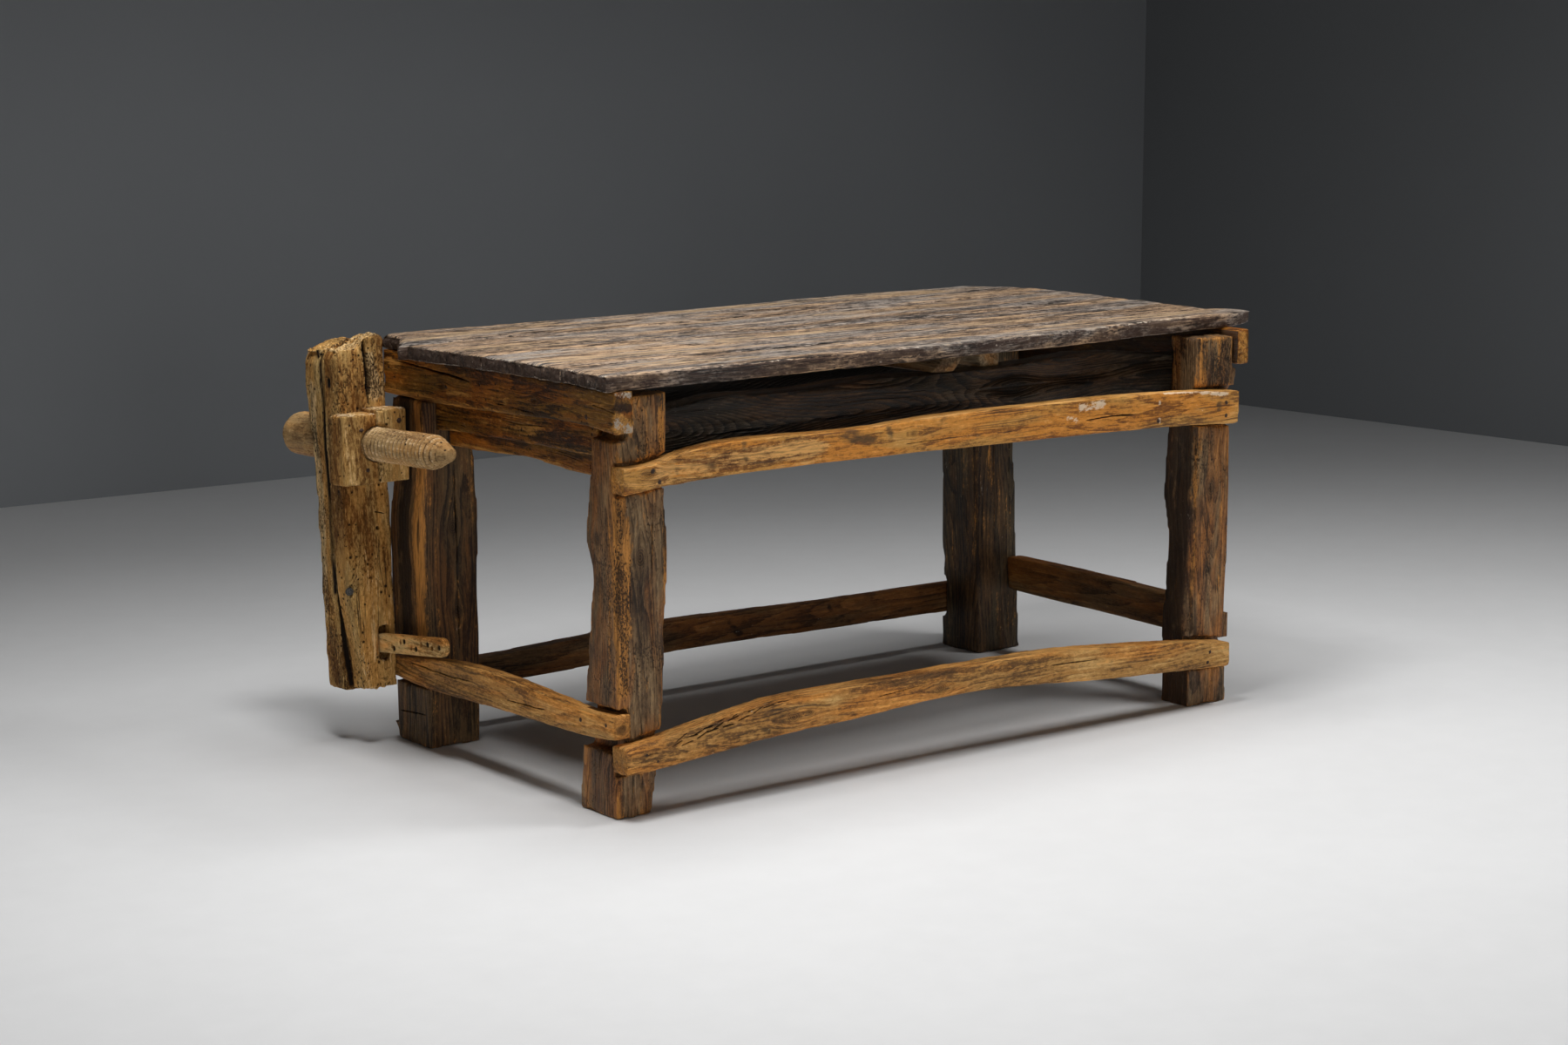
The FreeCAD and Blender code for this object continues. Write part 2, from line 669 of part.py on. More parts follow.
def vise_screw():
    """Turned screw with its hub, revolved about its axis."""
    arc_start = hub_back - hub_rounding
    diagonal = hub_rounding * math.sqrt(0.5)
    profile = [
        at(0, screw_tip_front, 0),
        at(0, screw_tip_front, screw_tip_radius),
        at(0, screw_tip_front + screw_taper, screw_radius),
        at(0, chop_back, screw_radius),
        at(0, chop_back, hub_shoulder_radius),
        at(0, chop_back + hub_shoulder_length, hub_radius),
        at(0, arc_start, hub_radius),
    ]
    rounded = Part.Arc(
        profile[-1],
        at(0, arc_start + diagonal, hub_flat_radius + diagonal),
        at(0, hub_back, hub_flat_radius),
    ).toShape()
    edges = [Part.makeLine(a, b) for a, b in zip(profile, profile[1:])]
    edges += [
        rounded,
        Part.makeLine(at(0, hub_back, hub_flat_radius), at(0, hub_back, 0)),
        Part.makeLine(at(0, hub_back, 0), profile[0]),
    ]
    solid = Part.Face(Part.Wire(edges)).revolve(at(), Y, 360)
    solid.translate(at(-screw_reach, 0, vise_pivot_height))
    return leaned(solid)


def vise_guide():
    """Parallel guide with its peg holes, held in the chop."""
    board = box(-guide_reach, -guide_reach + guide_thickness, guide_front, hub_back,
                guide_axis_height - guide_height / 2, guide_axis_height + guide_height / 2)
    tips = [e for e in board.Edges
            if abs(e.CenterOfMass.y - guide_front) < joint_clearance and e.Vertexes[0].Z == e.Vertexes[1].Z]
    board = board.makeFillet(guide_tip_radius, tips)
    for distance, offset in zip(guide_hole_distances, guide_hole_offsets):
        place = at(-2 * guide_reach, post_front - distance, guide_axis_height + offset)
        board = board.cut(Part.makeCylinder(guide_hole_radius, 2 * guide_reach, place, X))
    board.rotate(at(0, post_front, guide_axis_height), X, -guide_drop_degrees)
    behind = box(-nut_left_reach, 0, chop_back, 2 * hub_back, -top_height, top_height)
    return leaned(board.cut(behind))


def head(place, direction):
    """Faceted nail head standing on a face."""
    across = direction.cross(Z)
    turns = [2 * math.pi * (side + share_of_side) / nail_sides for side in range(nail_sides)]
    points = [place + (across * math.cos(t) + Z * math.sin(t)) * nail_radius for t in turns]
    return prism(points, direction * nail_thickness)


def front_rail_nails():
    upper = upper_left_nail_drops + from_right_leg(upper_right_nail_drops)
    lower = lower_left_nails + from_right_leg(lower_right_nails)
    places = [at(x, -upper_rail_proud, leg_height - drop) for x, drop in upper]
    places += [at(x, -lower_rail_proud, z) for x, z in lower]
    return Part.makeCompound([head(place, -Y) for place in places])


def from_right_leg(places):
    return tuple((bench_span + x, z) for x, z in places)


def left_end_nails():
    front_y, front_drop = end_rail_front_nail_drop
    back_y, back_drop = end_rail_back_nail_drop
    places = [
        at(end_rail_outer, front_y, top_under - front_drop),
        at(end_rail_outer, bench_depth + back_y, top_under - back_drop),
    ]
    places += [at(end_rail_outer, y, z) for y, z in left_stretcher_nails]
    return Part.makeCompound([head(place, -X) for place in places])


def vise_nut_nails():
    places = [at(-reach, nut_front, vise_pivot_height + rise) for reach, rise in nut_nail_rises]
    return leaned(Part.makeCompound([head(place, -Y) for place in places]))


nodes = {
    "plank_front": plank_front(),
    "plank_second": plank_second(),
    "plank_third": plank_third(),
    "plank_back": plank_back(),
    "leg_front_left": leg_front_left(),
    "leg_front_right": leg_front_right(),
    "leg_back_left": leg_back_left(),
    "leg_back_right": leg_back_right(),
    "front_upper_rail": front_upper_rail(),
    "front_lower_rail": front_lower_rail(),
    "back_upper_rail": back_upper_rail(),
    "back_lower_rail": back_lower_rail(),
    "left_end_top_rail": left_end_top_rail(),
    "left_end_inner_board": left_end_inner_board(),
    "left_end_lower_board": left_end_lower_board(),
    "left_lower_stretcher": left_lower_stretcher(),
    "right_end_top_rail": right_end_top_rail(),
    "right_lower_stretcher": right_lower_stretcher(),
    "leg_patch": leg_patch(),
    "inner_beam": inner_beam(),
    "cross_batten": cross_batten(),
    "short_batten": short_batten(),
    "vise_post": vise_post(),
    "vise_chop": vise_chop(),
    "vise_nut_left": vise_nut(nut_left_reach, screw_reach, nut_left_above),
    "vise_nut_right": vise_nut(screw_reach, nut_right_reach, nut_right_above),
    "vise_screw": vise_screw(),
    "vise_guide": vise_guide(),
    "front_rail_nails": front_rail_nails(),
    "left_end_nails": left_end_nails(),
    "vise_nut_nails": vise_nut_nails(),
}

os.makedirs("parts", exist_ok=True)
for name, shape in nodes.items():
    shape.translate(at(-middle_x, -middle_y, 0))
    shape.exportStep("parts/" + name + ".step")
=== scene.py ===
"""Dresses the old farmhouse workbench in weathered timber.

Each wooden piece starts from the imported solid's own mesh, is rebuilt as a fine even
grid, and is then hewn, chipped, cracked and worn along its grain. The places in the
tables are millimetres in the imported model's frame.
"""

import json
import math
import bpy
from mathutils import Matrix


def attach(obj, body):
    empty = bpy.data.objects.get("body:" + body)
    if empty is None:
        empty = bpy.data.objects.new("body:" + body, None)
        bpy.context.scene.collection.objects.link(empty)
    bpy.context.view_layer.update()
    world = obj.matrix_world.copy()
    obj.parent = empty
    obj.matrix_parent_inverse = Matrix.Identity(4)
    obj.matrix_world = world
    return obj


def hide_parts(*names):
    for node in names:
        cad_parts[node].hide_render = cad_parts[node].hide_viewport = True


bl_info = {
    "name": "Farmhouse Workbench",
    "version": (1, 0, 0),
    "blender": (4, 5, 0),
    "location": "3D Viewport > Sidebar > Workbench",
    "description": "Weathered timber, threads and fixings for an old workbench with a leg vise",
    "category": "Object",
}

import bmesh
import bpy
import numpy as np
from mathutils import Matrix, Vector

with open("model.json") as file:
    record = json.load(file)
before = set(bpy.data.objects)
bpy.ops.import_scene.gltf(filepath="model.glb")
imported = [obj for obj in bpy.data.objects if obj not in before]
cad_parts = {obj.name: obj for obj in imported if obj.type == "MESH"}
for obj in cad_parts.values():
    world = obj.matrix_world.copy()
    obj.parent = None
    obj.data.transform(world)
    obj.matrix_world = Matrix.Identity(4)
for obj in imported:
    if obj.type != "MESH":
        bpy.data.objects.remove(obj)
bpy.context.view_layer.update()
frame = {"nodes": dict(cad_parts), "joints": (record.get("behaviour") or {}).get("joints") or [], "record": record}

BODY_OF = {
    node: body
    for body, nodes in frame["record"]["behaviour"]["bodies"].items()
    for node in nodes
}
SCREW = next(joint for joint in frame["joints"] if joint["name"] == "screw_turn")

# Millimetres in a metre.
MM = 1000
# Axes of a piece, first along its grain.
GRAIN_ORDER = {"x": (0, 1, 2), "y": (1, 2, 0), "z": (2, 0, 1)}
# Channels of the marks that a piece carries for its material. Grime also carries painted shade, and crack also
# carries painted shade along the vise's seam.
WORN, GRIME_AND_SHADE, CRACK_AND_SHADE, PALE = range(4)


# Noise and measures on arrays of points.


def hashed(cells, seed):
    """Even, repeatable numbers from 0 to 1 for whole-number cells."""
    whole = cells.astype(np.int64)
    mixed = (whole[:, 0] * 73856093) ^ (whole[:, 1] * 19349663) ^ (whole[:, 2] * 83492791)
    mixed = (mixed ^ (seed * 2654435761)) & 0xFFFFFFFF
    mixed = ((mixed ^ (mixed >> 13)) * 1274126177) & 0xFFFFFFFF
    mixed = ((mixed ^ (mixed >> 16)) * 2246822519) & 0xFFFFFFFF
    return ((mixed ^ (mixed >> 15)) & 0xFFFFFF) / 0xFFFFFF


def smooth_noise(points, seed):
    """Noise from -1 to 1 whose bumps are about one unit apart."""
    base = np.floor(points)
    part = points - base
    part = part * part * (3 - 2 * part)
    total = np.zeros(len(points))
    for corner in range(8):
        offset = np.array([corner & 1, (corner >> 1) & 1, (corner >> 2) & 1])
        weight = np.prod(np.where(offset == 1, part, 1 - part), axis=1)
        total += weight * hashed(base + offset, seed)
    return 2 * total - 1


def layered(points, seed, layers=3):
    """Several sizes of the same noise on top of each other."""
    total = np.zeros(len(points))
    for layer in range(layers):
        total += smooth_noise(points * 2**layer, seed + 17 * layer) * 0.5**layer
    return total


def ramp(values, low, high):
    """Eased share from 0 at the low value to 1 at the high one."""
    share = np.clip((values - low) / (high - low), 0, 1)
    return share * share * (3 - 2 * share)


def along_path(points, path):
    """Distance from each point to a path, and the share of the path where that is."""
    nearest = np.full(len(points), 1e9)
    share = np.zeros(len(points))
    lengths = [np.linalg.norm(b - a) for a, b in zip(path, path[1:])]
    whole = max(sum(lengths), 1e-9)
    done = 0.0
    for a, b, length in zip(path, path[1:], lengths):
        run = b - a
        t = np.clip(((points - a) @ run) / max(length * length, 1e-12), 0, 1)
        gap = np.linalg.norm(points - a - t[:, None] * run, axis=1)
        closer = gap < nearest
        nearest = np.where(closer, gap, nearest)
        share = np.where(closer, (done + t * length) / whole, share)
        done += length
    return nearest, share


def in_metres(path):
    return [np.array(place, float) / MM for place in path]


# Meshes.


def new_object(name, mesh):
    piece = bpy.data.objects.new(name, mesh)
    bpy.context.scene.collection.objects.link(piece)
    return piece


def solid_copy(node):
    """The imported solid's mesh with its loose corners joined."""
    bm = bmesh.new()
    bm.from_mesh(frame["nodes"][node].data)
    bmesh.ops.remove_doubles(bm, verts=bm.verts, dist=1e-5)
    return bm


def mesh_object(name, bm):
    """Stores a bmesh as a new object and frees it."""
    mesh = bpy.data.meshes.new(name)
    bm.to_mesh(mesh)
    bm.free()
    return new_object(name, mesh)


def even_grid(name, node, grid):
    """A piece with the solid's shape and faces of about one size."""
    piece = mesh_object(name, solid_copy(node))
    coarse = piece.data
    rebuild = piece.modifiers.new("Even grid", "REMESH")
    rebuild.mode = "VOXEL"
    rebuild.voxel_size = grid
    shown = piece.evaluated_get(bpy.context.evaluated_depsgraph_get())
    fine = bpy.data.meshes.new_from_object(shown)
    piece.modifiers.clear()
    piece.data = fine
    bpy.data.meshes.remove(coarse)
    fine.name = name
    fine.materials.clear()
    return piece


def island_centres(node):
    """Middle of each separate solid in a node's mesh."""
    bm = solid_copy(node)
    left = set(bm.verts)
    centres = []
    while left:
        heap = [left.pop()]
        island = []
        while heap:
            vert = heap.pop()
            island.append(vert.co.copy())
            for edge in vert.link_edges:
                other = edge.other_vert(vert)
                if other in left:
                    left.remove(other)
                    heap.append(other)
        low = [min(co[axis] for co in island) for axis in range(3)]
        high = [max(co[axis] for co in island) for axis in range(3)]
        centres.append((Vector(low) + Vector(high)) / 2)
    bm.free()
    return sorted(centres, key=lambda c: tuple(c))


def coordinates(mesh):
    flat = np.zeros(len(mesh.vertices) * 3)
    mesh.vertices.foreach_get("co", flat)
    return flat.reshape(-1, 3)


def normals(mesh):
    flat = np.zeros(len(mesh.vertices) * 3, np.float32)
    mesh.vertex_normals.foreach_get("vector", flat)
    return flat.reshape(-1, 3).astype(float)


def refine(piece, near):
    """Halves the faces where near(points) is true."""
    bm = bmesh.new()
    bm.from_mesh(piece.data)
    chosen = near(coordinates(piece.data))
    edges = [edge for edge in bm.edges if all(chosen[vert.index] for vert in edge.verts)]
    if edges:
        bmesh.ops.subdivide_edges(bm, edges=edges, cuts=1, use_grid_fill=True)
        bm.to_mesh(piece.data)
    bm.free()


def neighbour_mean(points, ends, counts):
    """Mean place of each point's neighbours."""
    total = np.empty_like(points)
    for axis in range(3):
        total[:, axis] = np.bincount(ends[:, 0], points[ends[:, 1], axis], len(points))
        total[:, axis] += np.bincount(ends[:, 1], points[ends[:, 0], axis], len(points))
    return total / counts[:, None]


def arris(mesh, points, facing, rounds, size):
    """How far each point stands out of its surroundings, 1 on a square outer edge."""
    ends = np.zeros(len(mesh.edges) * 2, np.int32)
    mesh.edges.foreach_get("vertices", ends)
    ends = ends.reshape(-1, 2)
    counts = np.bincount(ends.ravel(), minlength=len(points)).astype(float)
    counts[counts == 0] = 1
    soft = points.copy()
    for _ in range(rounds):
        soft = 0.3 * soft + 0.7 * neighbour_mean(soft, ends, counts)
    return ((points - soft) * facing).sum(1) / size


class Timber:
    """One wooden piece while it is shaped: its points, its marks and its grain."""

    def __init__(self, piece, grain, seed):
        self.piece = piece
        self.seed = seed
        self.order = GRAIN_ORDER[grain]
        self.points = coordinates(piece.data)
        self.facing = normals(piece.data)
        self.grain = self.points[:, self.order].copy()
        self.marks = np.zeros((len(self.points), 4))
        self.knot = np.zeros(len(self.points))
        edge = arris(piece.data, self.points, self.facing, 8, 0.0022)
        self.edge = np.clip(edge, 0, 1)
        self.hollow = np.clip(-edge, 0, 1)
        self.end = ramp(np.abs(self.facing[:, self.order[0]]), 0.6, 0.85)
        self.moved = np.zeros(len(self.points))

    def noise(self, along, across, seed, layers=3):
        """Noise with so many bumps to the metre along and across the grain."""
        scale = np.array([along, across, across])
        return layered(self.grain * scale + self.seed * 3.7, self.seed + seed, layers)

    def push(self, amount):
        self.moved += amount

    def hew(self, wave, ridge):
        """Low waves and fine ridges that run with the grain, in millimetres."""
        self.push(self.noise(4, 14, 1) * wave / MM)
        self.push(self.noise(9, 70, 2, 2) * ridge / MM)

    def wear_edges(self, depth, chip):
        """Rounds the outer edges unevenly and breaks chips from them."""
        share = 0.35 + 0.65 * ramp(self.noise(7, 20, 3), -0.5, 0.7)
        self.push(-self.edge * share * depth / MM)
        chips = ramp(self.noise(16, 34, 4, 2), 0.3, 0.75)
        self.push(-np.clip(self.edge * 1.4, 0, 1) * chips * chip / MM)

    def round_off(self, path, radius, depth):
        """Takes an edge down along a path, in millimetres."""
        gap, _ = along_path(self.points, in_metres(path))
        near = np.clip(1 - gap * MM / radius, 0, 1)
        self.push(-near**1.4 * depth / MM)

    def stain(self, kind, direction, strength, top=1000):
        """Marks every face that looks one way, up to a height in millimetres. Grime marked this way is painted
        shade on faces turned from the light.
        """
        toward = ramp(self.facing @ np.array(direction, float), 0.55, 0.85)
        toward *= ramp(top / MM - self.points[:, 2], 0.0, 0.02)
        breaks = 1 - 0.3 * ramp(self.noise(9, 60, 40 + kind, 2), -0.5, 0.6)
        self.marks[:, kind] = np.maximum(self.marks[:, kind], toward * strength * breaks)

    def rough_ends(self, depth):
        lines = self.noise(3, 150, 5, 2) + 0.8 * self.noise(3, 40, 6, 2)
        self.push(self.end * (lines - 0.6) * depth / MM)

    def crumble(self, depth):
        """Lumps and small hollows of wood that has gone soft, in millimetres."""
        self.push(self.noise(22, 34, 9) * depth * 0.8 / MM)
        self.push(-ramp(self.noise(55, 80, 10, 2), 0.25, 0.85) * depth * 1.3 / MM)

    def crack(self, path, half_width, depth, wander=1.2):
        """Opens a crack along a path of places on the surface, in millimetres."""
        drift = np.zeros_like(self.points)
        swing = self.noise(28, 0.01, 7, 2) * wander / MM
        for axis in self.order[1:]:
            drift[:, axis] = swing
        gap, share = along_path(self.points + drift, in_metres(path))
        ends = np.clip(np.minimum(share, 1 - share) * 7 + 0.12, 0, 1)
        width = half_width / MM * (0.65 + 0.5 * ramp(self.noise(20, 5, 8, 2), -0.6, 0.6))
        inside = np.clip(1 - gap / (width * (0.35 + 0.65 * ends)), 0, 1)
        self.push(-np.sqrt(inside) * depth / MM * ends)
        dark = ramp(inside, 0.0, 0.35) * ramp(ends, 0.0, 0.3)
        self.marks[:, CRACK_AND_SHADE] = np.maximum(self.marks[:, CRACK_AND_SHADE], dark)

    def mark(self, kind, path, radius, strength, broken=0.5):
        """Lays wear, grime, dust or painted shade along a path, broken up by the grain."""
        gap, _ = along_path(self.points, in_metres(path))
        soft = ramp(1 - gap / (radius / MM), 0.0, 0.9)
        breaks = 1 - broken * ramp(self.noise(9, 60, 20 + kind, 2), -0.5, 0.6)
        self.marks[:, kind] = np.maximum(self.marks[:, kind], soft * strength * breaks)

    def add_knot(self, place, radius):
        """A knot that the grain flows around."""
        centre = np.array(place, float) / MM
        away = (self.points - centre)[:, self.order]
        away[:, 0] *= 0.7
        gap = np.linalg.norm(away, axis=1) / (radius / MM)
        self.knot = np.maximum(self.knot, np.clip(1 - gap, 0, 1))
        near = np.exp(-(gap / 1.5) ** 2)
        side = away[:, 1:] / (np.linalg.norm(away[:, 1:], axis=1)[:, None] + 1e-6)
        self.grain[:, 1:] -= side * (near * radius / MM * 0.55)[:, None]
        self.push(near * 0.0012 - np.exp(-(gap / 0.45) ** 2) * 0.0022)

    def hole(self, place, radius, depth):
        """A round hole bored straight into the surface."""
        gap = np.linalg.norm(self.points - np.array(place, float) / MM, axis=1) * MM
        inside = ramp(1 - gap / radius, 0.0, 0.5)
        self.push(-inside * depth / MM)
        self.marks[:, CRACK_AND_SHADE] = np.maximum(self.marks[:, CRACK_AND_SHADE], inside)

    def finish(self, material, keep_floor=False):
        """Moves the points, stores the marks for the material and fits it."""
        mesh = self.piece.data
        placed = self.points + self.facing * self.moved[:, None]
        if keep_floor:
            placed[:, 2] = np.maximum(placed[:, 2], 0)
        mesh.vertices.foreach_set("co", placed.ravel())
        mesh.update()
        depth = arris(mesh, placed, normals(mesh), 5, 0.0016)
        form = np.stack([np.clip(depth, 0, 1), np.clip(-depth, 0, 1), self.end], 1)
        for name, kind, field, values in (
            ("grain", "FLOAT_VECTOR", "vector", self.grain + self.seed * 0.731),
            ("form", "FLOAT_VECTOR", "vector", form),
            ("marks", "FLOAT_COLOR", "color", self.marks),
            ("knot", "FLOAT", "value", self.knot),
        ):
            mesh.attributes.new(name, kind, "POINT").data.foreach_set(field, values.ravel())
        mesh.polygons.foreach_set("use_smooth", [True] * len(mesh.polygons))
        mesh.materials.append(material)
        mesh.update()


def place_on_body(piece, node):
    """Lets a piece move with its node's body and stand in for the node."""
    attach(piece, BODY_OF[node])
    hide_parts(node)


def halos(node, radius, strength):
    """Rust stains in the wood around the nails of a node."""
    places = [tuple(centre * MM) for centre in island_centres(node)]
    return [(GRIME_AND_SHADE, [place, place], radius, strength) for place in places]


# How far finer faces reach from a crack in metres, and from a knot or hole in radii, and
# the share of that where they are halved again.
CRACK_REACH = 0.009
SPOT_REACH = 1.2
FINEST_SHARE = 0.62


def on_face(face, table):
    """Gives each place of two numbers the level of the flat face that it lies on."""
    if not isinstance(table, (list, tuple)):
        return table
    if len(table) == 2 and all(isinstance(value, (int, float)) for value in table):
        axis, level = face
        return (*table[:axis], level, *table[axis:])
    return [on_face(face, item) for item in table]


def shape_timber(node, name, grain, grid, seed, finish, face=None, wave=1.2, ridge=0.4, edge=3.5,
                 chip=3.0, ends=1.2, rotten=0.0, cracks=(), knots=(), marks=(), holes=(), fine=(),
                 rounds=(), stains=(), nails=None, keep_floor=False):
    """Builds one wooden piece from its node and its tables of marks."""
    if face:
        cracks, knots, marks, fine = (on_face(face, table) for table in (cracks, knots, marks, fine))
    if nails:
        marks = marks + halos(*nails)
    piece = even_grid(name, node, grid)
    lines = [in_metres(path) for path, _, _ in cracks]
    spots = [(np.array(place, float) / MM, radius / MM) for place, radius in knots]
    spots += [(np.array(place, float) / MM, 2 * radius / MM) for place, radius, _ in holes]
    bands = [(in_metres(path), radius / MM) for path, radius in fine]

    def close_to_detail(points, share):
        near = np.zeros(len(points), bool)
        for path in lines:
            near |= along_path(points, path)[0] < CRACK_REACH * share
        for centre, radius in spots:
            near |= np.linalg.norm(points - centre, axis=1) < radius * SPOT_REACH * share
        for path, radius in bands:
            near |= along_path(points, path)[0] < radius
        return near

    if lines or spots or bands:
        refine(piece, lambda points: close_to_detail(points, 1.0))
    if lines or spots:
        bands = []
        refine(piece, lambda points: close_to_detail(points, FINEST_SHARE))
    timber = Timber(piece, grain, seed)
    timber.hew(wave, ridge)
    timber.wear_edges(edge, chip)
    timber.rough_ends(ends)
    if rotten:
        timber.crumble(rotten)
    for place, radius in knots:
        timber.add_knot(place, radius)
    for path, half_width, depth in cracks:
        timber.crack(path, half_width, depth)
    for place, radius, depth in holes:
        timber.hole(place, radius, depth)
    for path, radius, depth in rounds:
        timber.round_off(path, radius, depth)
    for stain in stains:
        timber.stain(*stain)
    for kind, path, radius, strength in marks:
        timber.mark(kind, path, radius, strength)
    timber.finish(finish_named(finish), keep_floor)
    place_on_body(piece, node)


def shape_all(pieces, grid=None):
    """Shapes the pieces of a table, on the given grid where one names none."""
    for piece in pieces:
        shape_timber(**{"grid": grid, **piece})


# Materials.


class Finish:
    """Lays out the nodes of one material."""

    def __init__(self, name):
        self.material = bpy.data.materials.new(name)
        self.material.use_nodes = True
        self.tree = self.material.node_tree
        self.tree.nodes.clear()
        self.output = self.tree.nodes.new("ShaderNodeOutputMaterial")

    def node(self, kind, **settings):
        made = self.tree.nodes.new(kind)
        for name, value in settings.items():
            setattr(made, name, value)
        return made

    def feed(self, socket, value):
        if isinstance(value, bpy.types.NodeSocket):
            self.tree.links.new(value, socket)
        else:
            socket.default_value = value

    def math(self, operation, first, second=0.0):
        made = self.node("ShaderNodeMath", operation=operation)
        self.feed(made.inputs[0], first)
        self.feed(made.inputs[1], second)
        return made.outputs[0]

    def add(self, *values):
        total = values[0]
        for value in values[1:]:
            total = self.math("ADD", total, value)
        return total

    def times(self, first, second):
        return self.math("MULTIPLY", first, second)

    def ramp(self, value, low, high):
        made = self.node("ShaderNodeMapRange", interpolation_type="SMOOTHSTEP", clamp=True)
        self.feed(made.inputs["Value"], value)
        self.feed(made.inputs["From Min"], low)
        self.feed(made.inputs["From Max"], high)
        return made.outputs["Result"]

    def blend(self, share, first, second, mode="MIX"):
        made = self.node("ShaderNodeMix", data_type="RGBA", blend_type=mode, clamp_factor=True)
        self.feed(made.inputs[0], share)
        self.feed(made.inputs[6], first)
        self.feed(made.inputs[7], second)
        return made.outputs[2]

    def colours(self, value, stops):
        made = self.node("ShaderNodeValToRGB")
        made.color_ramp.interpolation = "EASE"
        while len(made.color_ramp.elements) < len(stops):
            made.color_ramp.elements.new(0.5)
        for element, (place, colour) in zip(made.color_ramp.elements, stops):
            element.position = place
            element.color = colour
        self.feed(made.inputs[0], value)
        return made.outputs[0]

    def stretch(self, vector, factors):
        made = self.node("ShaderNodeVectorMath", operation="MULTIPLY")
        self.feed(made.inputs[0], vector)
        made.inputs[1].default_value = factors
        return made.outputs[0]

    def noise(self, vector, detail=2.0, roughness=0.5, distortion=0.0, scale=1.0, output="Fac"):
        made = self.node("ShaderNodeTexNoise")
        self.feed(made.inputs["Vector"], vector)
        made.inputs["Scale"].default_value = scale
        made.inputs["Detail"].default_value = detail
        made.inputs["Roughness"].default_value = roughness
        made.inputs["Distortion"].default_value = distortion
        return made.outputs[output]

    def surface(self, colour, roughness, height, relief, specular=0.4):
        shader = self.node("ShaderNodeBsdfPrincipled")
        self.feed(shader.inputs["Base Color"], colour)
        self.feed(shader.inputs["Roughness"], roughness)
        shader.inputs["Specular IOR Level"].default_value = specular
        if height is not None:
            bump = self.node("ShaderNodeBump")
            bump.inputs["Strength"].default_value = 1.0
            bump.inputs["Distance"].default_value = relief
            self.feed(bump.inputs["Height"], height)
            self.feed(shader.inputs["Normal"], bump.outputs["Normal"])
        self.feed(self.output.inputs["Surface"], shader.outputs[0])
        return self.material


def shaded(tone, share=1.0):
    return tuple(part * share for part in tone) + (1,)


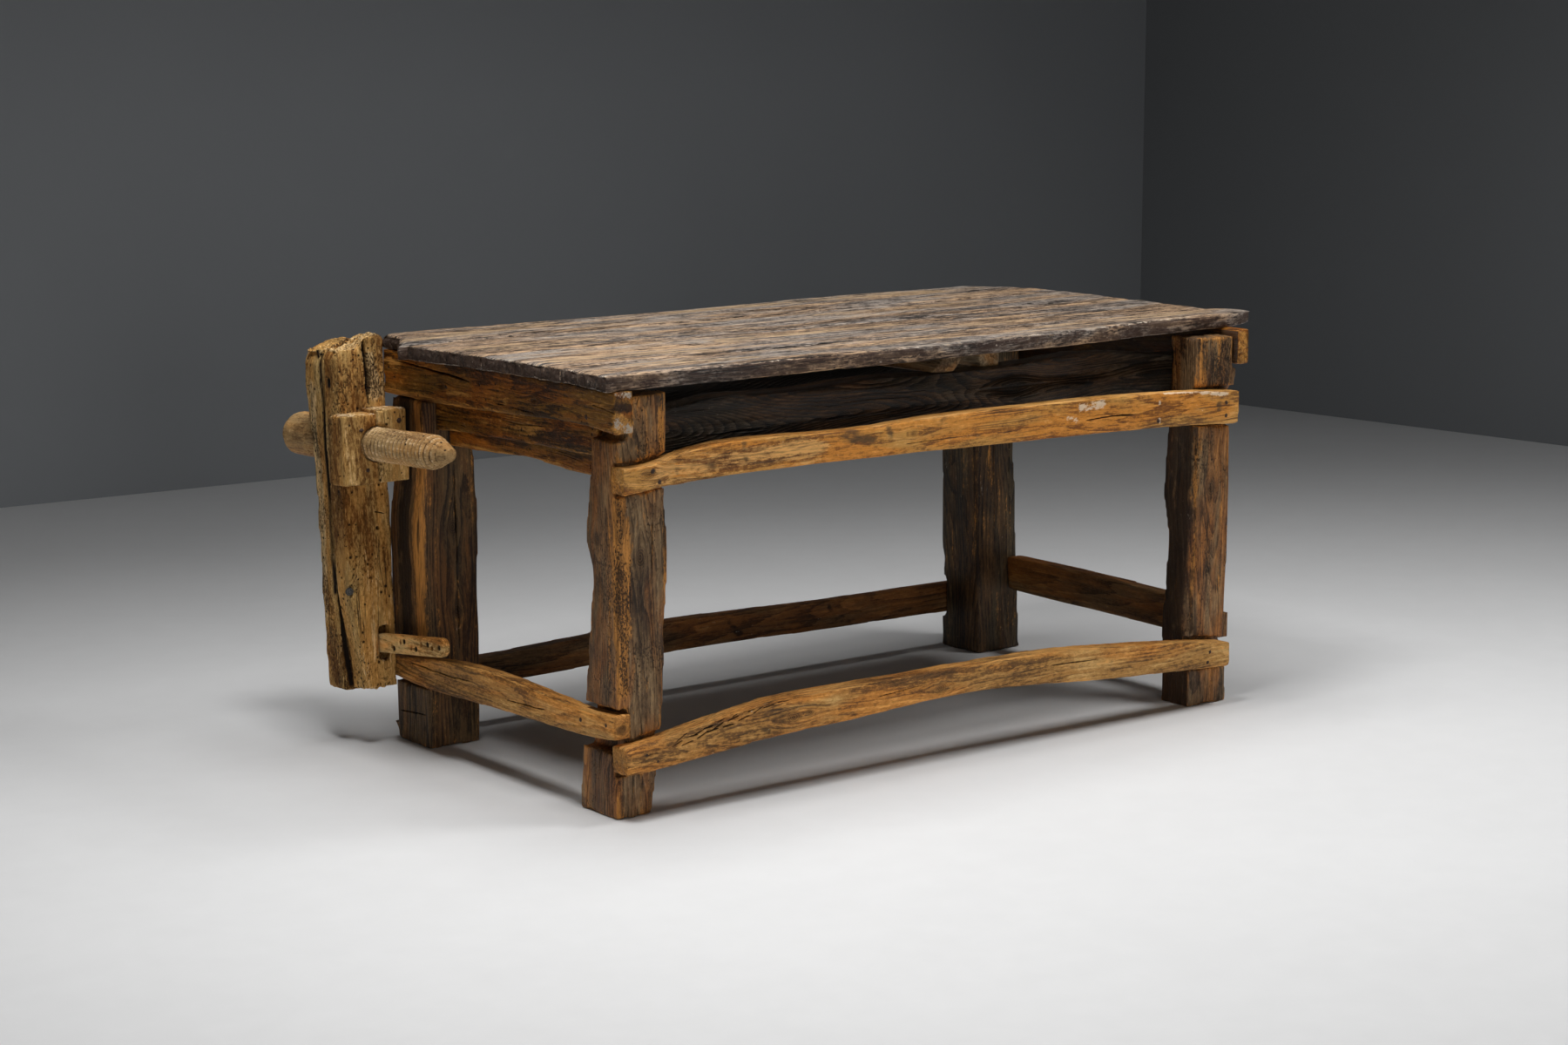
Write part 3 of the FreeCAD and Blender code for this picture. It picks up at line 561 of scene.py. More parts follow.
def old_wood(name, dark, mid, light, worn, grime_and_shade, pale=(0.5, 0.44, 0.36), turns=28.0, figure_share=0.2,
             fibre_share=0.35, strand_share=0.3, streak_share=0.35, blotch_share=0.5,
             warm=(1.22, 0.96, 0.62), cool=(0.85, 0.94, 0.98), wear=0.0, checks=0.5, worms=0.0,
             rot=0.0, dirt=0.0, flecks=0.0, edge_wear=0.35, relief=0.003, gloss=0.62, specular=0.3,
             end_dark=0.5, speck_share=0.5, patch=(4.5, 12.0, 12.0), ring_depth=0.25):
    """Weathered timber that follows each piece's own grain and marks."""
    f = Finish(name)
    grain = f.node("ShaderNodeAttribute", attribute_name="grain").outputs["Vector"]
    marks = f.node("ShaderNodeAttribute", attribute_name="marks")
    split = f.node("ShaderNodeSeparateColor")
    f.feed(split.inputs[0], marks.outputs["Color"])
    wear_mark, grime_and_shade_mark, crack_and_shade_mark = split.outputs
    pale_mark = marks.outputs["Alpha"]
    form = f.node("ShaderNodeSeparateXYZ")
    f.feed(form.inputs[0], f.node("ShaderNodeAttribute", attribute_name="form").outputs["Vector"])
    edge, hollow, end = form.outputs
    knot = f.node("ShaderNodeAttribute", attribute_name="knot").outputs["Fac"]

    bend = f.noise(f.stretch(grain, (1.8, 9.0, 9.0)), output="Color")
    push = f.node("ShaderNodeVectorMath", operation="MULTIPLY_ADD")
    f.feed(push.inputs[0], bend)
    push.inputs[1].default_value = (0.0, 0.045, 0.045)
    f.feed(push.inputs[2], grain)
    flow = push.outputs[0]

    fibre = f.noise(f.stretch(flow, (24.0, 330.0, 330.0)), detail=3.0, roughness=0.65)
    strand = f.noise(f.stretch(flow, (7.0, 95.0, 95.0)), detail=5.0, roughness=0.72)
    streak = f.noise(f.stretch(flow, (2.2, 30.0, 30.0)), detail=5.0, roughness=0.68)
    blotch = f.noise(f.stretch(grain, patch), detail=6.0, roughness=0.68)
    speck = f.noise(f.stretch(grain, (95.0, 210.0, 210.0)), detail=4.0, roughness=0.75)
    figure = f.noise(f.stretch(flow, (0.9, 9.0, 9.0)), detail=1.5, roughness=0.4)
    figure = f.add(f.times(figure, turns), f.times(fibre, 0.35))
    ring = f.math("POWER", f.math("FRACT", figure), 1.7)

    def swing(value, share):
        return f.times(f.math("SUBTRACT", value, 0.5), share)

    tone = f.add(f.times(f.math("SUBTRACT", 0.37, ring), figure_share), swing(fibre, fibre_share * 2),
                 swing(strand, strand_share * 2.4), swing(streak, streak_share * 2.4),
                 swing(blotch, blotch_share * 2.4), swing(speck, speck_share), 0.5)
    colour = f.colours(tone, [(0.04, shaded(dark, 0.4)), (0.28, shaded(dark)), (0.54, shaded(mid)),
                              (0.92, shaded(light))])
    hue = f.noise(f.stretch(grain, (3.0, 17.0, 17.0)), detail=3.0, roughness=0.6, distortion=0.4)
    tint = f.blend(f.ramp(hue, 0.4, 0.62), shaded(cool), shaded(warm))
    colour = f.blend(1.0, colour, tint, "MULTIPLY")

    sawn = f.noise(f.stretch(grain, (40.0, 190.0, 190.0)), detail=3.0, roughness=0.7)
    end_tone = f.blend(f.ramp(sawn, 0.35, 0.65), shaded(dark, 0.5), shaded(mid))
    colour = f.blend(f.times(end, end_dark), colour, end_tone)

    rubbed = f.add(wear, wear_mark, f.times(edge, edge_wear), swing(strand, 2.2), swing(speck, 1.6),
                   swing(blotch, 1.8))
    rubbed = f.ramp(rubbed, 0.3, 0.8)
    worn_tone = f.blend(f.ramp(f.add(fibre, swing(strand, 1.0)), 0.36, 0.66),
                        shaded(worn, 0.45), shaded(worn))
    colour = f.blend(f.times(rubbed, 0.92), colour, worn_tone)

    smear = f.noise(f.stretch(grain, (18.0, 34.0, 34.0)), detail=5.0, roughness=0.7)
    # Darkens towards the grime tone by grime marks, hollows and dirt; some grime marks are painted shade.
    soiled_and_shaded = f.add(grime_and_shade_mark, f.times(hollow, 0.6), swing(smear, 2.2), swing(strand, 1.4), dirt)
    soiled_and_shaded = f.ramp(soiled_and_shaded, 0.3, 0.9)
    colour = f.blend(f.times(soiled_and_shaded, 0.88), colour, shaded(grime_and_shade))

    dusty = f.ramp(f.add(pale_mark, flecks, swing(speck, 2.6), swing(smear, 1.4)), 0.5, 0.8)
    colour = f.blend(f.times(dusty, 0.8), colour, shaded(pale))

    eye = f.ramp(knot, 0.05, 0.75)
    circles = f.math("SINE", f.times(knot, 34.0))
    knot_tone = f.blend(f.ramp(f.add(circles, swing(speck, 3.0)), -0.6, 0.9),
                        shaded(dark, 0.35), shaded(mid, 0.6))
    colour = f.blend(f.times(eye, 0.75), colour, knot_tone)

    line = f.noise(f.stretch(flow, (0.8, 62.0, 62.0)), detail=2.0, roughness=0.5)
    line = f.math("ABSOLUTE", f.math("SUBTRACT", line, 0.5))
    thin = f.math("SUBTRACT", 1.0, f.ramp(line, 0.002, 0.014))
    where = f.noise(f.stretch(grain, (4.5, 16.0, 16.0)), detail=1.0)
    thin = f.times(thin, f.ramp(where, 0.62 - 0.2 * checks, 0.72 - 0.2 * checks))
    colour = f.blend(f.times(thin, 0.8), colour, shaded(dark, 0.12))

    height = f.add(f.times(ring, -ring_depth), f.times(fibre, 0.35), f.times(strand, 0.6),
                   f.times(streak, 0.4), f.times(speck, 0.6), f.times(thin, -0.8))

    if rot:
        pores = f.noise(f.stretch(grain, (170.0, 300.0, 300.0)), detail=3.0, roughness=0.7)
        region = f.noise(f.stretch(grain, (7.0, 13.0, 13.0)), detail=3.0, roughness=0.6)
        pores = f.add(pores, swing(region, 0.7), f.times(wear_mark, 0.12))
        pores = f.ramp(pores, 0.66 - 0.12 * rot, 0.74 - 0.12 * rot)
        colour = f.blend(f.times(pores, 0.85), colour, shaded(dark, 0.25))
        height = f.add(height, f.times(pores, -1.1))

    if worms:
        cells = f.node("ShaderNodeTexVoronoi", feature="F1")
        f.feed(cells.inputs["Vector"], grain)
        cells.inputs["Scale"].default_value = 95.0
        chance = f.node("ShaderNodeSeparateColor")
        f.feed(chance.inputs[0], cells.outputs["Color"])
        colony = f.noise(f.stretch(grain, (9.0, 14.0, 14.0)), detail=2.0)
        chosen = f.ramp(f.add(chance.outputs[0], swing(colony, 1.5)), 1.0 - worms, 1.02 - worms)
        size = f.add(f.times(chance.outputs[1], 0.14), 0.15)
        rim = f.ramp(f.math("DIVIDE", cells.outputs["Distance"], size), 0.7, 1.15)
        pit = f.times(f.math("SUBTRACT", 1.0, rim), chosen)
        colour = f.blend(f.times(pit, 0.9), colour, shaded(dark, 0.1))
        height = f.add(height, f.times(pit, -1.2))

    # Darkest tone for cracks, holes and nicks, and painted shade along the vise's seam.
    colour = f.blend(crack_and_shade_mark, colour, shaded(dark, 0.05))

    rough = f.add(gloss, swing(strand, 0.5), f.times(soiled_and_shaded, 0.1), f.times(dusty, 0.15),
                  f.times(rubbed, 0.08))
    rough = f.math("MINIMUM", f.math("MAXIMUM", rough, 0.3), 0.95)
    return f.surface(colour, rough, height, relief, specular)


def forged_iron(name, dark, rust):
    f = Finish(name)
    place = f.node("ShaderNodeTexCoord").outputs["Object"]
    patches = f.noise(place, detail=4.0, roughness=0.65, scale=420.0)
    grit = f.noise(place, detail=2.0, roughness=0.6, scale=1500.0)
    colour = f.blend(f.ramp(patches, 0.4, 0.62), shaded(dark), shaded(rust))
    return f.surface(colour, f.add(f.times(grit, 0.3), 0.55), f.add(patches, grit), 0.0006)


# Label, then the dark, middle, light, worn and grime tones, where a word stands for one of
# the colours in the settings, then what differs from an ordinary old timber. The grime tone also serves as painted
# shade.
TIMBERS = {
    "plank": (
        "Weathered plank", (0.043, 0.028, 0.019), "plank", (0.57, 0.435, 0.31), "plank_worn",
        (0.05, 0.023, 0.013),
        dict(
            pale=(0.85, 0.72, 0.58), turns=20.0, figure_share=0.08, fibre_share=1.35, strand_share=0.66,
            streak_share=0.34, blotch_share=0.5, warm=(1.14, 0.98, 0.8), cool=(0.86, 0.96, 1.12),
            wear=0.1, flecks=0.08, checks=1.0, edge_wear=0.1, gloss=0.5, relief=0.006, end_dark=0.9,
            specular=0.3, speck_share=1.6, patch=(2.2, 15.0, 15.0)),
    ),
    "leg": (
        "Hewn leg", (0.09, 0.044, 0.018), "leg", (0.42, 0.245, 0.11), "leg_worn", (0.025, 0.012, 0.005),
        dict(turns=34.0, figure_share=0.34, fibre_share=0.5, strand_share=0.18, streak_share=0.2,
            blotch_share=0.8, warm=(1.38, 1.0, 0.58), cool=(0.82, 0.93, 1.02), checks=0.5,
            edge_wear=0.75, gloss=0.5, rot=0.25, speck_share=0.7, relief=0.004),
    ),
    # Copy of the leg finish for the back left leg, darker partly for its own wood and partly as painted shade.
    "dark_shaded_leg": (
        "Dark hewn leg", (0.035, 0.017, 0.006), (0.13, 0.066, 0.024), (0.3, 0.165, 0.065), "leg_worn",
        (0.012, 0.006, 0.003),
        dict(turns=26.0, figure_share=0.3, strand_share=0.22, blotch_share=0.4, warm=(1.2, 0.98, 0.7),
            checks=0.6, edge_wear=0.3, gloss=0.58),
    ),
    # Copy of the leg finish for the back right leg, darker partly for its own wood and partly as painted shade.
    "far_shaded_leg": (
        "Far hewn leg", (0.02, 0.011, 0.006), (0.075, 0.046, 0.022), (0.2, 0.13, 0.065), "leg_worn",
        (0.01, 0.006, 0.003),
        dict(turns=26.0, figure_share=0.3, strand_share=0.25, blotch_share=0.5, warm=(1.2, 0.97, 0.7),
            checks=0.6, edge_wear=0.25, gloss=0.58),
    ),
    "rail": (
        "Worn rail", (0.24, 0.095, 0.018), "rail", (0.9, 0.47, 0.13), (0.9, 0.48, 0.15),
        (0.1, 0.055, 0.022),
        dict(pale=(0.9, 0.72, 0.52), turns=22.0, figure_share=0.22, fibre_share=0.45, strand_share=0.24,
            streak_share=0.2, blotch_share=0.5, warm=(1.06, 0.9, 0.68), cool=(0.94, 1.02, 1.2),
            checks=0.2, edge_wear=0.25, gloss=0.5, dirt=-0.06, speck_share=0.8),
    ),
    "low_rail": (
        "Barky rail", (0.2, 0.085, 0.02), "low_rail", (0.85, 0.47, 0.15), (0.85, 0.43, 0.12),
        (0.06, 0.032, 0.013),
        dict(turns=24.0, figure_share=0.22, fibre_share=0.45, strand_share=0.24, streak_share=0.2,
            blotch_share=0.62, warm=(1.1, 0.96, 0.72), cool=(0.9, 1.0, 1.12), checks=0.4,
            edge_wear=0.35, gloss=0.6, dirt=-0.1, relief=0.004, speck_share=0.9),
    ),
    "end_board": (
        "Old end board", (0.045, 0.015, 0.001), "end_board", (0.42, 0.18, 0.03), (0.62, 0.29, 0.06),
        (0.014, 0.006, 0.002),
        dict(turns=24.0, figure_share=0.16, fibre_share=0.5, strand_share=0.2, blotch_share=0.5,
            warm=(1.25, 0.95, 0.5), cool=(0.8, 0.9, 0.9), checks=0.4, worms=0.06, edge_wear=0.35,
            gloss=0.5, end_dark=0.1, speck_share=0.8),
    ),
    "dark_rail": (
        "Dark rail", (0.06, 0.026, 0.009), (0.175, 0.084, 0.031), (0.38, 0.2, 0.08), (0.3, 0.14, 0.04),
        (0.012, 0.006, 0.003),
        dict(turns=20.0, figure_share=0.25, strand_share=0.22, streak_share=0.3, blotch_share=0.4,
            warm=(1.25, 0.95, 0.55), checks=0.5, edge_wear=0.2, gloss=0.5, relief=0.004),
    ),
    "beam": (
        "Blackened beam", (0.008, 0.005, 0.003), "beam", (0.16, 0.11, 0.07), (0.16, 0.1, 0.05),
        (0.004, 0.003, 0.002),
        dict(turns=70.0, figure_share=0.5, fibre_share=0.4, strand_share=0.5, streak_share=0.3,
            blotch_share=0.6, warm=(1.3, 0.95, 0.6), checks=0.8, edge_wear=0.1, gloss=0.4, relief=0.016,
            specular=0.5, ring_depth=0.9),
    ),
    "batten": (
        "Dusty batten", (0.09, 0.05, 0.024), (0.3, 0.19, 0.1), (0.55, 0.4, 0.25), (0.6, 0.42, 0.24),
        (0.03, 0.02, 0.012),
        dict(checks=0.3, edge_wear=0.3, end_dark=0.1),
    ),
    "vise": (
        "Worm-eaten vise", (0.2, 0.082, 0.018), "vise", (0.92, 0.56, 0.21), (0.95, 0.64, 0.3),
        (0.06, 0.028, 0.009),
        dict(pale=(0.9, 0.72, 0.46), turns=16.0, figure_share=0.06, fibre_share=0.3, strand_share=0.12,
            streak_share=0.14, blotch_share=0.75, warm=(1.06, 0.96, 0.76), cool=(0.92, 0.99, 1.0),
            checks=0.15, worms=0.32, rot=0.35, edge_wear=0.45, gloss=0.78, relief=0.005, dirt=-0.05,
            specular=0.2, end_dark=0.1, speck_share=1.0),
    ),
    "guide": (
        "Pegged guide", (0.36, 0.18, 0.054), (0.82, 0.5, 0.2), (0.94, 0.7, 0.37), (0.98, 0.72, 0.36),
        (0.2, 0.09, 0.03),
        dict(turns=16.0, figure_share=0.06, strand_share=0.2, blotch_share=0.5, checks=0.2, gloss=0.8,
            relief=0.003, dirt=-0.2, specular=0.2, end_dark=0.0, speck_share=0.8),
    ),
    "screw": (
        "Turned screw", (0.2, 0.1, 0.035), "screw", (0.85, 0.58, 0.3), (0.9, 0.64, 0.36),
        (0.075, 0.038, 0.015),
        dict(turns=16.0, figure_share=0.04, fibre_share=0.2, strand_share=0.12, streak_share=0.1,
            blotch_share=0.4, checks=0.1, warm=(1.08, 0.97, 0.8), cool=(0.94, 1.0, 1.06), worms=0.08,
            edge_wear=0.3, gloss=0.7, relief=0.0025, dirt=-0.15, end_dark=0.1, specular=0.25,
            speck_share=0.55),
    ),
}
# Label, then the dark tone and the tone of the rust.
IRONS = {
    "iron": ("Forged iron", (0.018, 0.014, 0.012), (0.085, 0.035, 0.017)),
    "grey_iron": ("Grey iron", (0.04, 0.038, 0.035), (0.12, 0.11, 0.1)),
}
FINISHES = {}


def finish_named(name):
    """Makes each finish once, from the tables and the colours in the settings."""
    if name not in FINISHES:
        if name in IRONS:
            FINISHES[name] = forged_iron(*IRONS[name])
        else:
            chosen = bpy.context.scene.workbench_finish
            label, *tones, shares = TIMBERS[name]
            tones = [tuple(getattr(chosen, tone)) if isinstance(tone, str) else tone for tone in tones]
            FINISHES[name] = old_wood(label, *tones, **shares)
    return FINISHES[name]


# Settings.


def size_property(name, description, default):
    return bpy.props.FloatProperty(name=name, description=description, default=default, unit="LENGTH")


def power_property(name, description, default):
    return bpy.props.FloatProperty(name=name, description=description, default=default, unit="POWER")


def tone_property(name, description, default):
    return bpy.props.FloatVectorProperty(
        name=name, description=description, default=default, subtype="COLOR")


class WorkbenchSizes(bpy.types.PropertyGroup):
    """Sizes of the surface detail."""

    plank_grid: size_property("Plank Grid", "Size of a face on the planks", 0.0042)
    leg_grid: size_property("Leg Grid", "Size of a face on the legs", 0.0038)
    rail_grid: size_property("Rail Grid", "Size of a face on the rails", 0.0032)
    vise_grid: size_property("Vise Grid", "Size of a face on the vise", 0.0028)
    thread_pitch: size_property("Thread Pitch", "Travel of the vise screw in one turn", 0.0135)
    thread_depth: size_property("Thread Depth", "Depth of the screw's thread", 0.0044)
    nail_radius: size_property("Nail Radius", "Radius of a forged nail head", 0.0055)


class WorkbenchFinish(bpy.types.PropertyGroup):
    """Main colours of the timber."""

    plank: tone_property("Plank", "Weathered planks of the top", (0.33, 0.247, 0.182))
    plank_worn: tone_property("Worn Plank", "Worn patches of the top", (0.62, 0.42, 0.24))
    leg: tone_property("Leg", "Hewn legs", (0.235, 0.124, 0.052))
    leg_worn: tone_property("Worn Leg", "Rubbed edges of the legs", (0.68, 0.29, 0.06))
    rail: tone_property("Rail", "Upper front rail", (0.66, 0.3, 0.055))
    low_rail: tone_property("Low Rail", "Lower front rail and left stretcher", (0.54, 0.244, 0.055))
    end_board: tone_property("End Board", "Boards at the ends", (0.235, 0.088, 0.009))
    beam: tone_property("Beam", "Blackened beam under the top", (0.046, 0.028, 0.013))
    vise: tone_property("Vise", "Worm-eaten vise", (0.55, 0.3, 0.095))
    screw: tone_property("Screw", "Turned vise screw", (0.47, 0.28, 0.112))


class WorkbenchStage(bpy.types.PropertyGroup):
    """Floor, walls, lights and camera."""

    floor: tone_property("Floor", "Pale floor", (0.8, 0.8, 0.8))
    wall: tone_property("Wall", "Plain grey wall", (0.3, 0.312, 0.325))
    high_power: power_property("High Power", "Power of the large light over the bench", 50.0)
    left_power: power_property("Left Power", "Power of the light above the vise", 42.0)
    right_power: power_property("Right Power", "Power of the light above the right end", 36.0)
    low_power: power_property("Low Power", "Power of the low light in front", 12.0)
    focal_length: bpy.props.FloatProperty(
        name="Focal Length", description="Camera's focal length in millimetres", default=71.78)


# Pieces. A table row is a kind, a path, a radius and a strength for a mark, and a path, a
# half width and a depth for a crack. Places are millimetres, and a place of two numbers lies
# on the piece's face, which is an axis and a level on it. A stain is a kind, the way that
# its faces look, a strength, and the height where it ends.


# Small bright nicks in the front plank's edge.
PLANK_NICKS = [
    (WORN, [(x, -505 + 0.05 * (x - 60), 777), (x + 11, -503 + 0.05 * (x - 60), 797)], 5.0, 0.95)
    for x in (66, 84, 118, 150, 171, 206, 231, 262, 270, 300, 322, 351, 372, 401, 436, 470, 520, 575)
]
PLANKS = (
    dict(
        node="plank_front", name="front_plank", grain="x", seed=11, finish="plank", wave=1.3, edge=3.5,
        chip=5.5, ends=2.0, face=(2, 800),
        # Painted shade on the left ends and on the faces turned to the front.
        stains=[(GRIME_AND_SHADE, (-1, 0, 0), 1.1), (GRIME_AND_SHADE, (0, -1, 0), 0.82)],
        cracks=[
            ([(-150, -352), (150, -352), (420, -353), (640, -352)], 3.6, 12),
            ([(-620, -420), (-430, -424), (-300, -420)], 1.0, 4),
            ([(300, -410), (480, -404), (640, -398)], 1.2, 4),
            ([(560, -490, 785), (700, -470, 785), (800, -452, 786)], 1.4, 5),
        ],
        marks=PLANK_NICKS + [
            (WORN, [(-640, -400), (-420, -440)], 45, 0.5), (WORN, [(-250, -430), (100, -420)], 35, 0.5),
            (WORN, [(350, -400), (760, -400)], 50, 0.65),
            (PALE, [(-770, -500, 803), (-770, -350, 803)], 7, 1.0),
            (PALE, [(-760, -506, 803), (120, -500, 803), (500, -466, 803), (820, -432, 803)], 6, 0.9),
        ],
        fine=[([(-770, -505, 786), (150, -503, 786), (840, -440, 786)], 20)],
    ),
    dict(
        node="plank_second", name="second_plank", grain="x", seed=12, finish="plank", wave=1.3,
        edge=3.0, chip=4, ends=2.0, face=(2, 800),
        # Painted shade on the left ends.
        stains=[(GRIME_AND_SHADE, (-1, 0, 0), 1.1)],
        cracks=[
            ([(-150, -353), (150, -354), (420, -355), (640, -354)], 3.0, 10),
            ([(-500, -121), (-208, -121), (120, -121)], 3.4, 11),
            ([(-640, -240), (-400, -236), (-260, -240)], 1.0, 4),
            ([(300, -260), (520, -256), (700, -262)], 1.2, 4),
        ],
        marks=[
            (WORN, [(-720, -270), (-420, -300)], 50, 0.75),
            (WORN, [(-300, -200), (120, -190)], 45, 0.6), (WORN, [(200, -290), (600, -280)], 40, 0.45),
            (PALE, [(-775, -350, 803), (-775, -170, 803)], 7, 0.8),
        ],
    ),
    dict(
        node="plank_third", name="third_plank", grain="x", seed=13, finish="plank", wave=1.3, edge=3.0,
        chip=4, ends=2.0, face=(2, 800),
        # Painted shade on the left ends.
        stains=[(GRIME_AND_SHADE, (-1, 0, 0), 1.1)],
        cracks=[
            ([(-500, -118), (-208, -118), (120, -118)], 3.4, 11),
            ([(-380, 20), (-100, 26), (100, 20)], 1.1, 4),
            ([(250, -30), (450, -26), (640, -34)], 1.0, 4),
        ],
        marks=[
            (GRIME_AND_SHADE, [(-800, 70, 792), (-790, 118, 790)], 28, 1.2),
            (WORN, [(-740, -30), (-480, -60)], 55, 0.8), (WORN, [(-420, -90), (-120, -60)], 40, 0.5),
            (WORN, [(120, 30), (520, 20)], 45, 0.5),
        ],
    ),
    dict(
        node="plank_back", name="back_plank", grain="x", seed=14, finish="plank", wave=1.5, edge=4.0,
        chip=6.5, ends=3.0, face=(2, 800),
        # Painted shade on the left ends and on the faces turned to the front.
        stains=[(GRIME_AND_SHADE, (-1, 0, 0), 1.1), (GRIME_AND_SHADE, (0, -1, 0), 1.1)],
        cracks=[
            ([(-790, 118), (-700, 112), (-560, 118)], 2.6, 9),
            ([(-200, 200), (60, 206), (300, 200)], 1.2, 4),
        ],
        marks=[
            (WORN, [(-760, 160), (-400, 250)], 60, 0.7), (WORN, [(-100, 260), (600, 250)], 50, 0.65),
        ],
    ),
)


class WORKBENCH_OT_planks(bpy.types.Operator):
    """Four weathered planks of the top."""

    bl_idname = "workbench.planks"
    bl_label = "Planks"

    def execute(self, context):
        shape_all(PLANKS, context.scene.workbench_sizes.plank_grid)
        return {"FINISHED"}


LEGS = (
    dict(
        node="leg_front_left", name="hewn_leg_front_left", grain="z", seed=21, finish="leg", wave=1.5,
        edge=4.0, chip=4.0, keep_floor=True, face=(1, -491),
        knots=[((-695, 471), 20), ((-746, -430, 500), 15)],
        cracks=[
            ([(-668, 560), (-672, 420), (-668, 260)], 1.2, 6),
            ([(-712, 180), (-714, 60), (-716, 0)], 1.0, 5),
            ([(-746, -440, 700), (-746, -436, 600)], 1.4, 6), ([(-650, 620), (-652, 520)], 1.0, 5),
        ],
        marks=[
            (WORN, [(-739, 570), (-736, 400), (-735, 235)], 22, 1.5),
            (GRIME_AND_SHADE, [(-700, 560), (-694, 300), (-690, 180)], 24, 0.55),
            (WORN, [(-722, 540), (-724, 330)], 15, 0.8), (WORN, [(-640, 560), (-638, 260)], 7, 1.0),
            (WORN, [(-748, -470, 540), (-748, -465, 250)], 10, 0.55),
            (WORN, [(-746, -380, 580), (-748, -372, 250)], 9, 0.5),
            (WORN, [(-706, 760), (-684, 660)], 46, 0.45), (WORN, [(-650, 755), (-650, 665)], 10, 0.9),
            (GRIME_AND_SHADE, [(-740, -450, 120), (-690, 20)], 60, 0.45),
        ],
    ),
    dict(
        node="leg_front_right", name="hewn_leg_front_right", grain="z", seed=22, finish="leg", wave=1.5,
        edge=4.0, chip=3.5, keep_floor=True, face=(1, -491),
        knots=[((722, 452), 20)],
        cracks=[
            ([(765, 560), (770, 380), (766, 190)], 1.3, 6),
            ([(690, -470, 640), (688, -462, 560)], 1.2, 5), ([(740, 330), (738, 160)], 1.0, 5),
        ],
        # Painted shade on the inner left faces under the top, up to 612 mm.
        stains=[(GRIME_AND_SHADE, (-1, 0, 0), 1.3, 612)],
        marks=[
            (WORN, [(692, -486, 755), (690, -486, 655)], 17, 1.4),
            (WORN, [(735, 755), (745, 655)], 40, 0.75),
            (WORN, [(684, -484, 560), (676, -484, 180)], 11, 0.75),
            (WORN, [(760, 740), (762, 660)], 14, 0.55), (WORN, [(750, 420), (752, 250)], 14, 0.45),
            (GRIME_AND_SHADE, [(700, -480, 60), (760, 10)], 70, 0.55),
        ],
    ),
    dict(
        node="leg_back_left", name="hewn_leg_back_left", grain="z", seed=23, finish="dark_shaded_leg",
        wave=1.5, edge=4.0, chip=3.5, keep_floor=True, face=(1, 155),
        knots=[((-684, 433), 18), ((-678, 269), 17)],
        cracks=[
            ([(-678, 570), (-677, 407), (-676, 269), (-675, 190)], 1.8, 9),
            ([(-746, 263, 59), (-746, 200, 64), (-746, 165, 67)], 1.5, 7),
            ([(-650, 600), (-648, 480)], 1.0, 5),
        ],
        marks=[
            (WORN, [(-752, 172, 760), (-752, 171, 400), (-752, 172, 215)], 23, 1.9),
            # Painted shadow of the vise post on the back part of the left face.
            (GRIME_AND_SHADE, [(-752, 222, 760), (-752, 222, 200)], 34, 1.7),
            (WORN, [(-720, 300), (-722, 220)], 14, 0.4),
            (GRIME_AND_SHADE, [(-746, 200, 60), (-690, 30)], 60, 0.4),
        ],
    ),
    dict(
        node="leg_back_right", name="hewn_leg_back_right", grain="z", seed=24, finish="far_shaded_leg",
        wave=1.5, edge=4.0, chip=3.5, keep_floor=True, face=(1, 155),
        cracks=[
            ([(700, 600), (702, 420), (706, 220)], 1.2, 6), ([(745, 560), (748, 300)], 1.4, 6),
            ([(668, 300), (668, 60)], 1.0, 5),
        ],
        marks=[
            (WORN, [(690, 520), (692, 240)], 14, 0.35),
            (PALE, [(660, 156, 560), (664, 156, 330)], 12, 0.3),
        ],
    ),
    dict(
        node="leg_patch", name="let_in_patch", grain="z", grid=0.002, seed=25, finish="leg", wave=0.8,
        edge=1.5, chip=1.5,
    ),
)


class WORKBENCH_OT_legs(bpy.types.Operator):
    """Four hewn legs and the patch let into one of them."""

    bl_idname = "workbench.legs"
    bl_label = "Legs"

    def execute(self, context):
        shape_all(LEGS, context.scene.workbench_sizes.leg_grid)
        return {"FINISHED"}


